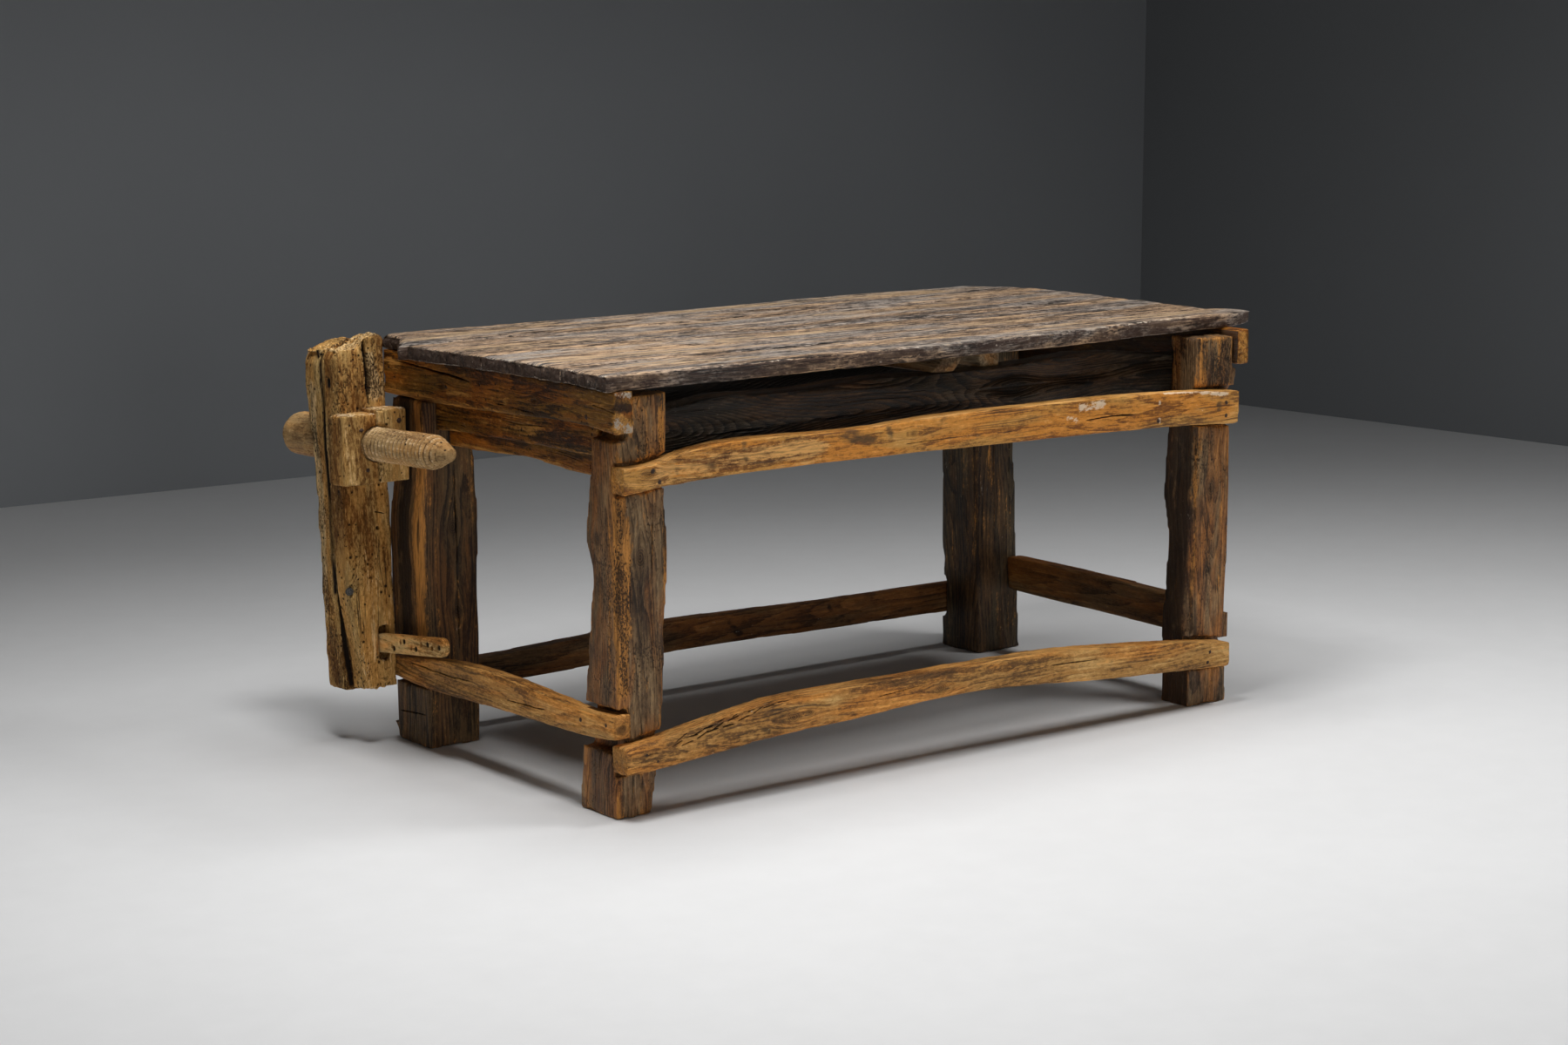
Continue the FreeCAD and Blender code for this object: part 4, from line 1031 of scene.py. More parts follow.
# Short torn lines where bark was left on the lower rail.
BARK_LINES = []
for index in range(26):
    x = -655 + 11.5 * index
    z = 128 + 0.21 * (x + 655) + 7 * math.sin(index * 2.3)
    BARK_LINES.append(([(x, z), (x + 26, z + 7 + 5 * math.sin(index * 1.7))], 1.5, 5))
FRONT_RAILS = (
    dict(
        node="front_upper_rail", name="bowed_upper_rail", grain="x", seed=31, finish="rail", wave=0.8,
        edge=1.4, chip=2.2, face=(1, -516),
        knots=[((-692, 622), 15), ((-90, 640), 9)],
        cracks=[
            ([(344, 626), (414, 628), (484, 627)], 2.0, 7), ([(330, 634), (430, 633)], 0.9, 4),
            ([(-746, -505, 612), (-746, -480, 616)], 1.2, 5), ([(-730, 640), (-620, 648)], 1.0, 4),
            ([(-120, 622), (20, 624)], 0.8, 3),
        ],
        marks=[
            (GRIME_AND_SHADE, [(-563, 660), (-556, 595)], 23, 0.75), (GRIME_AND_SHADE, [(-486, 668), (-480, 632)], 18, 0.7),
            (GRIME_AND_SHADE, [(-250, 655), (-195, 635)], 28, 0.85), (GRIME_AND_SHADE, [(-150, 660), (-140, 620)], 14, 0.7),
            (GRIME_AND_SHADE, [(-70, 640), (180, 628)], 30, 0.7), (GRIME_AND_SHADE, [(-40, 655), (120, 660)], 20, 0.7),
            (GRIME_AND_SHADE, [(-636, 655), (-626, 595)], 13, 0.65), (GRIME_AND_SHADE, [(-745, 650), (-640, 655)], 8, 0.4),
            (PALE, [(335, 652), (392, 657)], 15, 1.2),
            (PALE, [(560, 664), (652, 658), (735, 646)], 8, 1.5),
            (PALE, [(546, 647), (547, 642)], 7, 1.2), (PALE, [(547, 610), (548, 606)], 7, 1.2),
            (PALE, [(300, 636), (325, 630)], 9, 0.7), (GRIME_AND_SHADE, [(712, 640), (716, 612)], 16, 0.8),
            (WORN, [(-735, 625), (-320, 636)], 50, 0.85), (WORN, [(-440, 630), (-300, 645)], 18, 0.5),
            (GRIME_AND_SHADE, [(-384, -510, 664), (-66, -510, 672)], 8, 0.85),
        ],
        nails=("front_rail_nails", 11.0, 0.75),
        stains=[(WORN, (0, 0, 1), 0.5)],
    ),
    dict(
        node="front_lower_rail", name="bowed_lower_rail", grain="x", seed=32, finish="low_rail",
        wave=1.6, edge=3.0, chip=4.0, face=(1, -524),
        knots=[((-378, 141), 17), ((-342, 145), 12), ((-24, 146), 17), ((141, 162), 11)],
        cracks=BARK_LINES + [
            ([(-746, 118), (-680, 121)], 1.0, 4), ([(-180, 150), (-60, 158)], 1.0, 4),
            ([(260, 150), (380, 146)], 1.0, 4),
        ],
        marks=[
            (GRIME_AND_SHADE, [(-655, 132), (-520, 162), (-400, 176)], 22, 0.5),
            (PALE, [(-640, 140), (-420, 178)], 14, 0.3), (GRIME_AND_SHADE, [(-270, 142), (-262, 126)], 12, 0.6),
            (GRIME_AND_SHADE, [(-575, 116), (-560, 110)], 11, 0.8), (GRIME_AND_SHADE, [(-452, 130), (-436, 122)], 11, 0.7),
            (GRIME_AND_SHADE, [(-390, 158), (-330, 160)], 12, 0.5), (GRIME_AND_SHADE, [(250, 140), (420, 136)], 14, 0.4),
            (WORN, [(-740, 108), (-560, 128)], 16, 0.5), (WORN, [(60, 140), (240, 150)], 20, 0.5),
        ],
        nails=("front_rail_nails", 11.0, 0.75),
        stains=[(WORN, (0, 0, 1), 0.4)],
    ),
)


class WORKBENCH_OT_front_rails(bpy.types.Operator):
    """The two bowed rails lapped into the front legs."""

    bl_idname = "workbench.front_rails"
    bl_label = "Front Rails"

    def execute(self, context):
        shape_all(FRONT_RAILS, context.scene.workbench_sizes.rail_grid)
        return {"FINISHED"}


BACK_RAILS = (
    dict(
        node="back_lower_rail", name="lapped_back_lower_rail", grain="x", grid=0.0036, seed=41,
        finish="dark_rail", edge=3.5, face=(1, 265),
        marks=[
            (WORN, [(-600, 120), (-200, 125)], 25, 0.35), (GRIME_AND_SHADE, [(60, 130), (90, 100)], 14, 0.8),
            (GRIME_AND_SHADE, [(330, 130), (350, 100)], 12, 0.8),
        ],
    ),
    dict(
        node="back_upper_rail", name="lapped_back_upper_rail", grain="x", grid=0.0042, seed=42,
        # Painted shade: the blackened beam finish and the darkened front and top faces stand for the deep shade
        # under the top.
        finish="beam", edge=3.0,
        stains=[(GRIME_AND_SHADE, (0, -1, 0), 1.4), (GRIME_AND_SHADE, (0, 0, 1), 1.4)],
    ),
)


class WORKBENCH_OT_back_rails(bpy.types.Operator):
    """The two rails lapped into the back legs."""

    bl_idname = "workbench.back_rails"
    bl_label = "Back Rails"

    def execute(self, context):
        shape_all(BACK_RAILS)
        return {"FINISHED"}


LEFT_END = (
    dict(
        node="left_end_top_rail", name="left_end_rail", grain="y", seed=51, finish="end_board",
        wave=1.0, edge=1.6, chip=2.5, face=(0, -760),
        knots=[((60, 724), 12), ((-255, 731), 10)],
        cracks=[
            ([(237, 755), (119, 750), (20, 745), (-35, 741)], 2.0, 9),
            ([(-440, 742), (-480, 738), (-511, 733)], 1.5, 7), ([(-120, 712), (-260, 706)], 1.0, 4),
        ],
        marks=[
            (WORN, [(270, 694), (-500, 692)], 13, 0.8), (WORN, [(40, 712), (-160, 716)], 14, 0.5),
            (PALE, [(-756, -514, 768), (-728, -514, 762)], 13, 1.1),
            (GRIME_AND_SHADE, [(-756, -514, 752), (-728, -514, 746)], 20, 1.4),
            (PALE, [(-752, -514, 742), (-730, -514, 739)], 5, 0.9),
            (WORN, [(-754, -514, 718), (-728, -514, 704)], 22, 2.0),
            (PALE, [(-754, -514, 716), (-728, -514, 702)], 18, 1.05),
            (WORN, [(-756, 262, 752), (-756, 225, 748)], 24, 1.0),
            (GRIME_AND_SHADE, [(250, 766), (-480, 766)], 12, 0.7),
        ],
        nails=("left_end_nails", 9.0, 0.6),
    ),
    dict(
        node="left_end_inner_board", name="left_end_inner_board_wood", grain="y", grid=0.0036, seed=52,
        finish="end_board", edge=2.5,
        marks=[(WORN, [(-720, 150, 670), (-720, -380, 665)], 34, 0.5)],
    ),
    dict(
        node="left_end_lower_board", name="left_end_lower_board_wood", grain="y", grid=0.0036, seed=53,
        finish="end_board", wave=2.0, edge=4.0, chip=4.0,
        marks=[
            (WORN, [(-694, 150, 600), (-694, -390, 598)], 10, 0.75),
            (GRIME_AND_SHADE, [(-692, 150, 635), (-692, -390, 635)], 34, 0.95),
        ],
    ),
    dict(
        node="left_lower_stretcher", name="left_end_stretcher", grain="y", seed=54, finish="low_rail",
        wave=1.4, edge=2.2, chip=3.0, face=(0, -760),
        knots=[((-742, -499, 168), 14)],
        cracks=[([(200, 168), (60, 166), (-60, 172)], 1.2, 5), ([(-150, 158), (-330, 166)], 1.2, 5)],
        marks=[
            (GRIME_AND_SHADE, [(250, 150), (-100, 150)], 22, 0.45), (GRIME_AND_SHADE, [(-200, 150), (-480, 160)], 18, 0.4),
            (WORN, [(-750, 200, 186), (-750, -420, 192)], 12, 0.7),
            (GRIME_AND_SHADE, [(-750, -499, 168), (-742, -499, 168)], 14, 0.5),
        ],
        nails=("left_end_nails", 9.0, 0.6),
        stains=[(WORN, (0, 0, 1), 0.5)],
    ),
)


class WORKBENCH_OT_left_end(bpy.types.Operator):
    """Top rail, the two boards behind it and the stretcher at the vise end."""

    bl_idname = "workbench.left_end"
    bl_label = "Left End"

    def execute(self, context):
        shape_all(LEFT_END, context.scene.workbench_sizes.rail_grid)
        return {"FINISHED"}


RIGHT_END = (
    dict(
        node="right_end_top_rail", name="right_end_rail", grain="y", grid=0.0036, seed=61,
        finish="end_board", edge=3.5, chip=4.0, ends=2.0,
        marks=[(WORN, [(792, -500, 760), (796, -500, 708)], 20, 0.8)],
        # Painted shade on the inner left faces under the top.
        stains=[(GRIME_AND_SHADE, (-1, 0, 0), 1.3)],
    ),
    dict(
        node="right_lower_stretcher", name="right_end_stretcher", grain="y", grid=0.0036, seed=62,
        finish="dark_rail", edge=3.0,
        marks=[(WORN, [(744, 100, 180), (744, -380, 175)], 20, 0.3)],
    ),
)


class WORKBENCH_OT_right_end(bpy.types.Operator):
    """Top rail and stretcher at the right end."""

    bl_idname = "workbench.right_end"
    bl_label = "Right End"

    def execute(self, context):
        shape_all(RIGHT_END)
        return {"FINISHED"}


BEAM = (
    dict(
        node="inner_beam", name="ridged_beam", grain="x", grid=0.0038, seed=71, finish="beam", wave=1.6,
        ridge=1.2, edge=3.5, face=(1, -411),
        knots=[((250, 690), 30)],
        cracks=[([(-560, 660), (-300, 664), (-60, 672)], 1.4, 6)],
        marks=[(WORN, [(400, 700), (560, 690)], 20, 0.3)],
    ),
    dict(
        node="cross_batten", name="slanted_batten", grain="y", grid=0.0032, seed=72, finish="batten",
        edge=2.0, chip=2.0, ends=0.4,
    ),
    dict(
        node="short_batten", name="short_batten_wood", grain="y", grid=0.0032, seed=73, finish="batten",
        edge=2.0, chip=2.0, ends=0.5,
    ),
)


class WORKBENCH_OT_beam(bpy.types.Operator):
    """Long beam behind the front legs and the battens on it."""

    bl_idname = "workbench.beam"
    bl_label = "Beam and Battens"

    def execute(self, context):
        shape_all(BEAM)
        return {"FINISHED"}


# Line of the seam between the chop and the post; dark marks along it are painted shade in the gap.
VISE_SEAM = [
    (-868, 329, 790), (-868, 330, 777), (-867, 326, 697), (-866, 321, 597), (-863, 317, 498),
    (-860, 312, 398), (-857, 307, 298), (-843, 303, 198), (-834, 299, 118),
]
GUIDE_HOLES = ((161, 220), (74, 229), (199, 200), (117, 213), (32, 230))
VISE = (
    dict(
        node="vise_post", name="worm_eaten_post", grain="z", seed=81, finish="vise", wave=1.6,
        ridge=0.8, rotten=1.2, edge=5.0, chip=6.0, ends=3.0,
        cracks=[
            ([(-805, 273, 800), (-803, 273, 764), (-800, 271, 718), (-797, 269, 668)], 4.2, 18),
            ([(-797, 259, 460), (-786, 259, 458), (-774, 259, 454)], 1.6, 7),
            ([(-846, 262, 770), (-848, 262, 700), (-844, 262, 664)], 1.8, 8),
            ([(-856, 252, 500), (-850, 250, 360), (-846, 250, 220)], 1.5, 7),
            ([(-820, 252, 300), (-816, 250, 180)], 1.2, 5),
            ([(-846, 264, 724), (-822, 264, 727), (-806, 264, 724)], 1.1, 4),
            ([(-842, 264, 706), (-812, 264, 709)], 1.1, 4),
            ([(-838, 263, 692), (-816, 263, 694)], 1.0, 4),
        ],
        holes=[
            ((-791, 258, 428), 4.5, 9), ((-816, 255, 360), 3.4, 7), ((-800, 255, 395), 2.4, 5),
            ((-860, 254, 311), 14.0, 4),
        ],
        rounds=[(VISE_SEAM[1:], 9, 4), ([(-863, 274, 774), (-863, 326, 772)], 16, 7)],
        stains=[(WORN, (0, 0, 1), 0.6)],
        marks=[
            (WORN, [(-812, 256, 380), (-806, 252, 180)], 24, 0.5),
            (WORN, [(-790, 268, 760), (-780, 266, 690)], 24, 1.0),
            (GRIME_AND_SHADE, [(-846, 262, 690), (-852, 260, 560)], 18, 0.5),
            (GRIME_AND_SHADE, [(-868, 268, 320), (-858, 255, 305)], 20, 0.5),
            # The crack mark along the seam paints shade into the gap between the post and the chop.
            (GRIME_AND_SHADE, [(-762, 262, 690), (-762, 250, 320)], 12, 0.5), (CRACK_AND_SHADE, VISE_SEAM, 7, 1.5),
            (CRACK_AND_SHADE, [(-867, 304, 716), (-867, 303, 708)], 9, 1.8),
        ],
    ),
    dict(
        node="vise_chop", name="worm_eaten_chop", grain="z", grid=0.003, seed=82, finish="vise",
        wave=1.6, ridge=0.6, rotten=0.8, edge=6.0, chip=5.0, ends=1.2,
        rounds=[
            (VISE_SEAM, 11, 5), ([(-870, 330, 768), (-870, 392, 764)], 24, 10),
            ([(-854, 392, 778), (-816, 392, 790), (-782, 392, 788), (-764, 392, 770)], 14, 6),
        ],
        cracks=[
            ([(-871, 330, 760), (-868, 330, 600), (-862, 325, 400)], 1.6, 7),
            ([(-850, 318, 790), (-846, 320, 730)], 2.0, 8),
        ],
        marks=[
            # The two crack marks along the seam and the grime beside it are painted shade where the chop's rounded
            # edge turns into the gap.
            (CRACK_AND_SHADE, VISE_SEAM, 9, 1.7),
            (CRACK_AND_SHADE, [(-866, 325, 640), (-859, 327, 540), (-858, 324, 420), (-856, 318, 300)], 8, 1.6),
            (GRIME_AND_SHADE, [(-866, 332, 780), (-862, 336, 600), (-858, 330, 420), (-855, 320, 120)], 14, 0.5),
            (WORN, [(-868, 362, 700), (-860, 356, 250)], 26, 1.0),
        ],
    ),
    dict(
        node="vise_nut_left", name="split_nut_left", grain="z", grid=0.0024, seed=83, finish="vise",
        wave=0.5, ridge=0.4, rotten=0.7, edge=2.0, chip=4.0, ends=0.8,
        marks=[
            (WORN, [(-878, 205, 640), (-874, 200, 540)], 16, 0.5),
        ],
        nails=("vise_nut_nails", 8.0, 0.6),
        stains=[(PALE, (0, 0, 1), 0.6)],
    ),
    dict(
        node="vise_nut_right", name="split_nut_right", grain="z", grid=0.0024, seed=84, finish="vise",
        wave=0.5, ridge=0.4, rotten=0.7, edge=2.0, chip=4.0, ends=0.8,
        marks=[
            (PALE, [(-812, 202, 664), (-752, 202, 664)], 12, 0.35),
        ],
        nails=("vise_nut_nails", 8.0, 0.6),
        stains=[(PALE, (0, 0, 1), 0.6)],
    ),
    dict(
        node="vise_guide", name="pegged_guide", grain="y", grid=0.0018, seed=85, finish="guide",
        wave=0.5, ridge=0.3, edge=1.6, chip=1.6, ends=0.4,
        holes=[((-796, y, z), 7.0, 2) for y, z in GUIDE_HOLES],
    ),
)


class WORKBENCH_OT_vise(bpy.types.Operator):
    """Post, chop, split nut and pegged guide of the leg vise."""

    bl_idname = "workbench.vise"
    bl_label = "Leg Vise"

    def execute(self, context):
        shape_all(VISE, context.scene.workbench_sizes.vise_grid)
        return {"FINISHED"}


# Outline of the screw in metres: the place along it from the chop's face, then the radius.
# It runs from the tip over the threaded stem and the collar to the hub.
SCREW_OUTLINE = [
    (-0.444, 0.0), (-0.444, 0.010), (-0.441, 0.0135), (-0.386, 0.033), (0.0, 0.033), (0.0015, 0.038),
    (0.028, 0.0425), (0.031, 0.0408), (0.035, 0.0408), (0.038, 0.043), (0.112, 0.043),
]
HUB_END = 0.112
HUB_FACE = 0.142
HUB_ROUNDING = 0.03
ROUNDING_STEPS = 8
HUB_FACE_RADIUS = 0.013
STEM_RADIUS = 0.033
OUTLINE_STEP = 0.0017
TURNED_SIDES = 112
# One small hole to each turn of the thread, in a row.
NICK_TURN = 0.36
NICK_RADIUS = 0.0026
NICK_START = -0.13


def turned_body(name, outline):
    """Turns an outline of places and radii round the Y axis."""
    bm = bmesh.new()
    chain = []
    for (a, first), (b, second) in zip(outline, outline[1:]):
        count = max(1, round(math.hypot(b - a, second - first) / OUTLINE_STEP))
        for step in range(count):
            share = step / count
            chain.append(bm.verts.new((first + (second - first) * share, a + (b - a) * share, 0)))
    chain.append(bm.verts.new((0, outline[-1][0], 0)))
    edges = [bm.edges.new(pair) for pair in zip(chain, chain[1:])]
    bmesh.ops.spin(bm, geom=chain + edges, cent=(0, 0, 0), axis=(0, 1, 0), angle=2 * math.pi,
                   steps=TURNED_SIDES, use_merge=True)
    bmesh.ops.remove_doubles(bm, verts=bm.verts, dist=1e-6)
    bmesh.ops.recalc_face_normals(bm, faces=bm.faces)
    return mesh_object(name, bm)


class WORKBENCH_OT_screw(bpy.types.Operator):
    """Turned wooden screw with its thread and hub."""

    bl_idname = "workbench.screw"
    bl_label = "Vise Screw"

    def execute(self, context):
        sizes = context.scene.workbench_sizes
        outline = list(SCREW_OUTLINE)
        for step in range(1, ROUNDING_STEPS + 1):
            turn = math.pi / 2 * step / ROUNDING_STEPS
            outline.append((HUB_END + HUB_ROUNDING * math.sin(turn),
                            HUB_FACE_RADIUS + HUB_ROUNDING * math.cos(turn)))
        outline.append((HUB_FACE, 0.0))
        piece = turned_body("turned_screw", outline)
        mesh = piece.data
        timber = Timber(piece, "y", 91)
        along = timber.points[:, 1]
        radius = np.hypot(timber.points[:, 0], timber.points[:, 2])
        angle = np.arctan2(timber.points[:, 2], timber.points[:, 0]) / (2 * math.pi)
        phase = (along / sizes.thread_pitch - angle) % 1
        crest = np.abs(2 * phase - 1)
        groove = np.sqrt(np.clip(1 - (1 - crest) ** 2, 0, 1)) ** 1.6
        threaded = np.where(along < 0.0, ramp(radius, 0.013, 0.024), 0)
        depth = sizes.thread_depth * threaded * (0.85 + 0.3 * timber.noise(30, 30, 31, 2))
        unit = np.stack([timber.points[:, 0], np.zeros(len(along)), timber.points[:, 2]], 1)
        unit /= np.maximum(radius, 1e-6)[:, None]
        timber.points -= unit * ((1 - groove) * depth)[:, None]
        mesh.vertices.foreach_set("co", timber.points.ravel())
        mesh.update()
        timber.facing = normals(mesh)
        on_hub = along > 0.002
        timber.push(timber.noise(40, 60, 32) * 0.0009 * np.where(on_hub, 1.0, 0.25))
        timber.push(-ramp(timber.noise(70, 90, 33, 2), 0.35, 0.8) * 0.0016 * np.where(on_hub, 1, 0.5))
        low = np.clip((1 - groove) * threaded, 0, 1)
        grime_and_shade, worn = timber.marks[:, GRIME_AND_SHADE], timber.marks[:, WORN]
        timber.marks[:, GRIME_AND_SHADE] = np.maximum(grime_and_shade, ramp(low, 0.45, 0.9) * 0.9)
        timber.marks[:, WORN] = np.maximum(worn, ramp(1 - low, 0.75, 1.0) * threaded * 0.45)
        turned = np.abs(((angle - NICK_TURN) + 0.5) % 1 - 0.5) * 2 * math.pi * STEM_RADIUS
        spaced = np.abs((along / sizes.thread_pitch) % 1 - 0.5) * sizes.thread_pitch
        nick = (np.hypot(turned, spaced) < NICK_RADIUS) & (along < NICK_START) & (radius > 0.02)
        timber.marks[nick, CRACK_AND_SHADE] = 0.9
        timber.moved[nick] -= 0.0012
        timber.finish(finish_named("screw"))
        lean = Vector((0, 1, 0)).rotation_difference(Vector(SCREW["axis"])).to_matrix().to_4x4()
        mesh.transform(Matrix.Translation(Vector(SCREW["pos_m"])) @ lean)
        place_on_body(piece, "vise_screw")
        return {"FINISHED"}


FRONTWARD = Vector((0, -1, 0))
NAILS = (
    ("front_rail_nails", "forged_front_nails", FRONTWARD),
    ("left_end_nails", "forged_left_nails", Vector((-1, 0, 0))),
    ("vise_nut_nails", "forged_nut_nails", FRONTWARD),
)
BOLT_PLACE = (-0.859, 0.2545, 0.311)
BOLT_FACING = Vector((-0.25, -0.968, -0.045))
BOLT_RIM = 0.0078
BOLT_DOME = 0.0058


class WORKBENCH_OT_fixings(bpy.types.Operator):
    """Forged nail heads, and the bolt head in the post."""

    bl_idname = "workbench.fixings"
    bl_label = "Nails and Bolt"

    def execute(self, context):
        radius = context.scene.workbench_sizes.nail_radius
        for node, name, facing in NAILS:
            bm = bmesh.new()
            for index, centre in enumerate(island_centres(node)):
                nail_head(bm, centre, facing, radius, index)
            nails = mesh_object(name, bm)
            nails.data.materials.append(finish_named("iron"))
            place_on_body(nails, node)
        bm = bmesh.new()
        turn = Vector((0, 0, 1)).rotation_difference(BOLT_FACING)
        place = Matrix.Translation(BOLT_PLACE) @ turn.to_matrix().to_4x4()
        bmesh.ops.create_cone(bm, cap_ends=True, segments=24, radius1=BOLT_RIM, radius2=BOLT_RIM,
                              depth=0.002, matrix=place)
        dome = place @ Matrix.Translation((0, 0, 0.0022)) @ Matrix.Diagonal((1, 1, 0.45, 1))
        bmesh.ops.create_uvsphere(bm, u_segments=20, v_segments=12, radius=BOLT_DOME, matrix=dome)
        bolt = mesh_object("bolt_head", bm)
        bolt.data.materials.append(finish_named("grey_iron"))
        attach(bolt, "bench")
        return {"FINISHED"}


def nail_head(bm, centre, facing, radius, index):
    """A four to six-sided forged head with a low point."""
    sides = 4 + index % 3
    turn = Vector((0, 0, 1)).rotation_difference(facing).to_matrix().to_4x4()
    spin = Matrix.Rotation(0.7 * index, 4, "Z")
    flat = Matrix.Diagonal((1.0, 0.8 + 0.07 * (index % 4), 1, 1))
    place = Matrix.Translation(centre) @ turn @ spin @ flat
    made = bmesh.ops.create_cone(bm, cap_ends=True, segments=sides, radius1=radius * 1.15,
                                 radius2=radius * 0.35, depth=0.0032, matrix=place)
    rim = [edge for vert in made["verts"] for edge in vert.link_edges]
    bmesh.ops.bevel(bm, geom=list(dict.fromkeys(rim)), offset=radius * 0.09, segments=1, affect="EDGES",
                    profile=0.5, material=-1)


# Stage.

FLOOR_REACH = 14
WALL_HEIGHT = 6
# Where the walls' feet stand: the back wall's left end, the corner, and the side wall's end.
WALL_FEET = ((-8.0, 3.6), (3.959, 3.069), (4.9, -6.0))
# Share that darkens the side wall's paint, as painted shade.
SIDE_WALL_PAINTED_SHADE = 0.74
CAMERA_PLACE = (-3.796, -4.9407, 1.499)
CAMERA_TURN_DEGREES = (79.90, 0.0, -37.55)
# Name, place, target, size, the setting that holds its power, and its spread in degrees.
LIGHTS = (
    ("high_light", (-0.1, 0.2, 3.9), (-0.8, -3.5, 0.3), 1.5, "high_power", 150),
    ("left_light", (-1.1, -0.6, 3.4), (-1.1, -0.599, 0), 0.9, "left_power", 140),
    ("right_light", (1.5, -1.5, 3.4), (1.5, -1.499, 0), 0.9, "right_power", 140),
    ("low_light", (-2.6, -6.0, 1.1), (0.0, -0.3, 0.45), 1.5, "low_power", 90),
)
FAINT_FILL = (0.004, 0.004, 0.004, 1)


class WORKBENCH_OT_stage(bpy.types.Operator):
    """Pale floor, plain wall, soft lights and the camera."""

    bl_idname = "workbench.stage"
    bl_label = "Stage"

    def execute(self, context):
        scene = context.scene
        settings = scene.workbench_stage
        floor = flat_sheet("floor", [
            (x * FLOOR_REACH, y * FLOOR_REACH, 0) for x, y in ((-1, -1), (1, -1), (1, 1), (-1, 1))
        ])
        floor.data.materials.append(floor_finish(tuple(settings.floor)))
        left, corner, right = WALL_FEET
        walls = wall_sheet("walls", left, corner, tuple(settings.wall))
        side = wall_sheet("side_wall", corner, right, tuple(c * SIDE_WALL_PAINTED_SHADE for c in settings.wall))

        for name, place, target, size, power, spread in LIGHTS:
            soft_light(name, place, target, size, getattr(settings, power), math.radians(spread))

        world = bpy.data.worlds.new("Studio")
        world.use_nodes = True
        world.node_tree.nodes["Background"].inputs["Color"].default_value = FAINT_FILL
        scene.world = world
        scene.view_settings.view_transform = "Standard"

        lens = bpy.data.cameras.new("camera")
        lens.lens = settings.focal_length
        lens.sensor_width = 36.0
        camera = bpy.data.objects.new("camera", lens)
        camera.location = CAMERA_PLACE
        camera.rotation_euler = [math.radians(angle) for angle in CAMERA_TURN_DEGREES]
        scene.collection.objects.link(camera)
        scene.camera = camera
        return {"FINISHED"}


def flat_sheet(name, corners):
    bm = bmesh.new()
    bm.faces.new([bm.verts.new(corner) for corner in corners])
    return mesh_object(name, bm)


def wall_sheet(name, start, end, tone):
    """A wall between two places on the floor, seen from its front alone."""
    wall = flat_sheet(name, [(*start, 0), (*end, 0), (*end, WALL_HEIGHT), (*start, WALL_HEIGHT)])
    wall.data.materials.append(wall_finish(tone))
    return wall


def floor_finish(tone):
    f = Finish("Pale floor")
    place = f.node("ShaderNodeTexCoord").outputs["Object"]
    cloud = f.noise(place, detail=4.0, roughness=0.6, scale=1.3)
    scuff = f.noise(place, detail=5.0, roughness=0.7, scale=14.0)
    shade = f.add(f.times(cloud, 0.6), f.times(scuff, 0.4))
    colour = f.blend(f.ramp(shade, 0.3, 0.7), shaded(tone, 0.96), shaded(tone))
    return f.surface(colour, f.add(f.times(scuff, 0.2), 0.5), None, 0.0, specular=0.25)


def wall_finish(tone):
    """Plain paint that is only there from the front."""
    f = Finish("Plain wall")
    place = f.node("ShaderNodeTexCoord").outputs["Object"]
    cloud = f.noise(place, detail=3.0, scale=0.8)
    colour = f.blend(f.ramp(cloud, 0.3, 0.7), shaded(tone, 0.96), shaded(tone))
    f.surface(colour, 0.9, None, 0.0, specular=0.1)
    paint = f.output.inputs["Surface"].links[0].from_socket
    pick = f.node("ShaderNodeMixShader")
    f.feed(pick.inputs[0], f.node("ShaderNodeNewGeometry").outputs["Backfacing"])
    f.feed(pick.inputs[1], paint)
    f.feed(pick.inputs[2], f.node("ShaderNodeBsdfTransparent").outputs[0])
    f.feed(f.output.inputs["Surface"], pick.outputs[0])
    return f.material


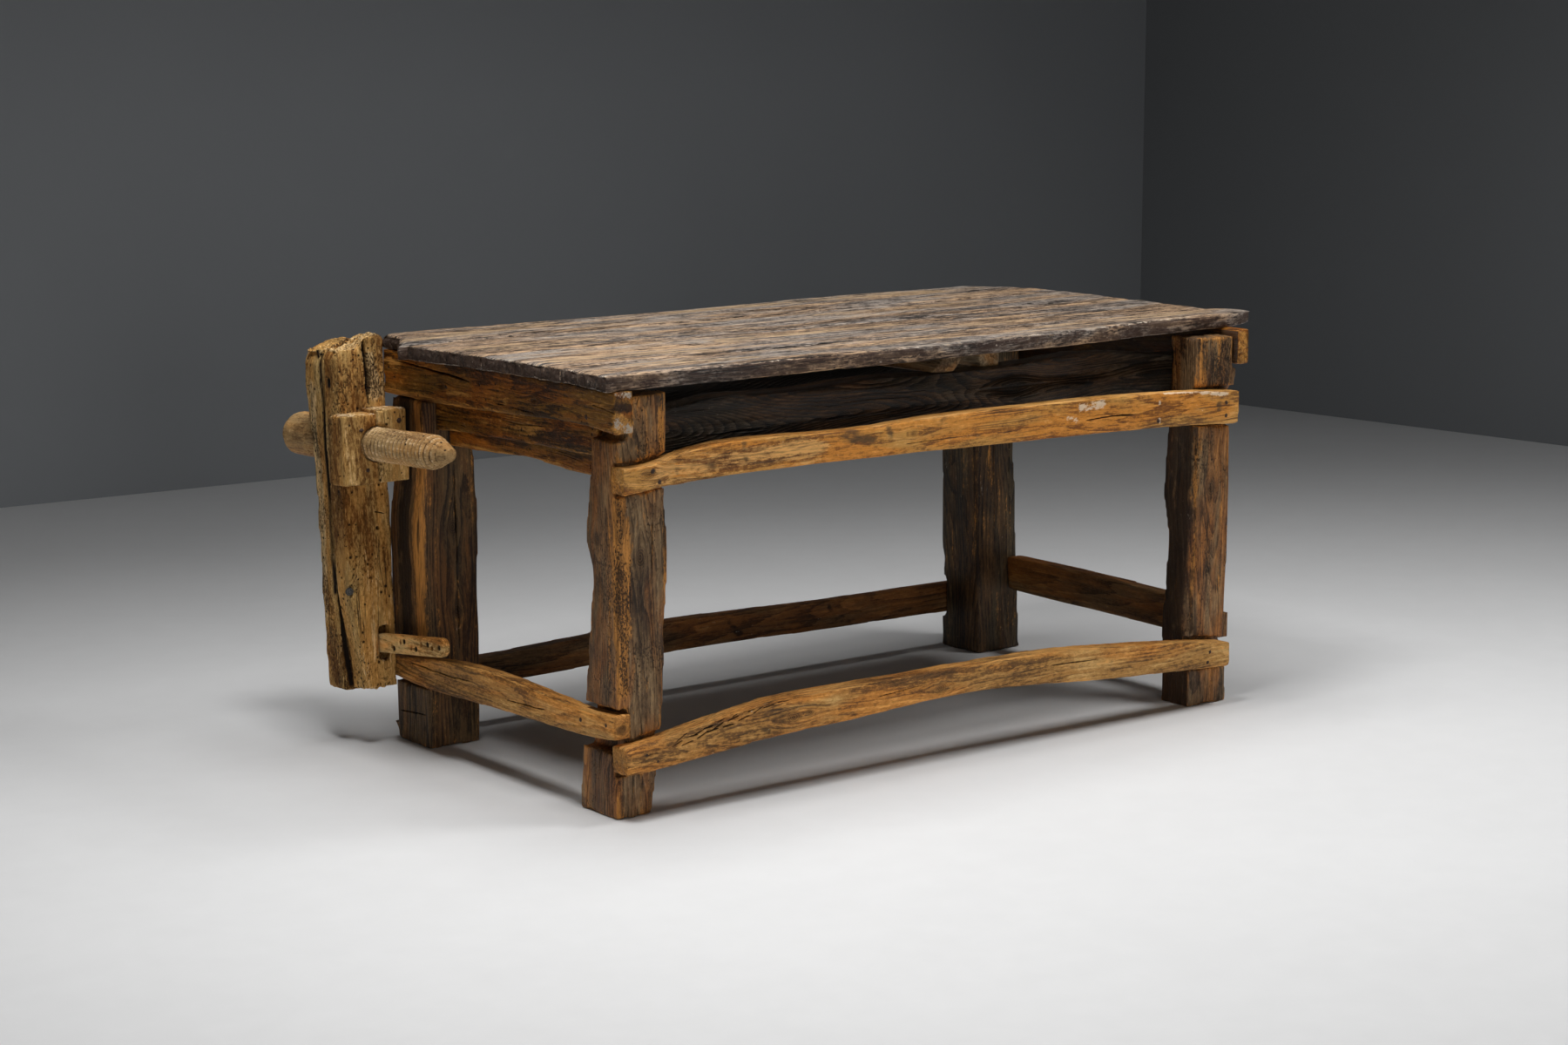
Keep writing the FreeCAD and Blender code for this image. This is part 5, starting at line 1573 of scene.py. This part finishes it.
def soft_light(name, place, target, size, power, spread):
    light = bpy.data.lights.new(name, "AREA")
    light.shape = "SQUARE"
    light.size = size
    light.energy = power
    light.spread = spread
    lamp = bpy.data.objects.new(name, light)
    lamp.location = place
    lamp.rotation_euler = (Vector(target) - Vector(place)).to_track_quat("-Z", "Y").to_euler()
    bpy.context.scene.collection.objects.link(lamp)


class WORKBENCH_PT_panel(bpy.types.Panel):
    """Lists the pieces of the workbench."""

    bl_idname = "WORKBENCH_PT_panel"
    bl_label = "Workbench"
    bl_space_type = "VIEW_3D"
    bl_region_type = "UI"
    bl_category = "Workbench"

    def draw(self, context):
        layout = self.layout
        scene = context.scene
        for settings in (scene.workbench_sizes, scene.workbench_finish, scene.workbench_stage):
            for name in settings.__annotations__:
                layout.prop(settings, name)
        for operator in OPERATORS:
            layout.operator(operator.bl_idname)


OPERATORS = (
    WORKBENCH_OT_planks,
    WORKBENCH_OT_legs,
    WORKBENCH_OT_front_rails,
    WORKBENCH_OT_back_rails,
    WORKBENCH_OT_left_end,
    WORKBENCH_OT_right_end,
    WORKBENCH_OT_beam,
    WORKBENCH_OT_vise,
    WORKBENCH_OT_screw,
    WORKBENCH_OT_fixings,
    WORKBENCH_OT_stage,
)
CLASSES = (WorkbenchSizes, WorkbenchFinish, WorkbenchStage) + OPERATORS + (WORKBENCH_PT_panel,)


def register():
    for cls in CLASSES:
        bpy.utils.register_class(cls)
    bpy.types.Scene.workbench_sizes = bpy.props.PointerProperty(type=WorkbenchSizes)
    bpy.types.Scene.workbench_finish = bpy.props.PointerProperty(type=WorkbenchFinish)
    bpy.types.Scene.workbench_stage = bpy.props.PointerProperty(type=WorkbenchStage)


def unregister():
    del bpy.types.Scene.workbench_stage
    del bpy.types.Scene.workbench_finish
    del bpy.types.Scene.workbench_sizes
    for cls in reversed(CLASSES):
        bpy.utils.unregister_class(cls)


def main():
    register()
    bpy.ops.workbench.planks()
    bpy.ops.workbench.legs()
    bpy.ops.workbench.front_rails()
    bpy.ops.workbench.back_rails()
    bpy.ops.workbench.left_end()
    bpy.ops.workbench.right_end()
    bpy.ops.workbench.beam()
    bpy.ops.workbench.vise()
    bpy.ops.workbench.screw()
    bpy.ops.workbench.fixings()
    bpy.ops.workbench.stage()


if __name__ == "__main__":
    main()
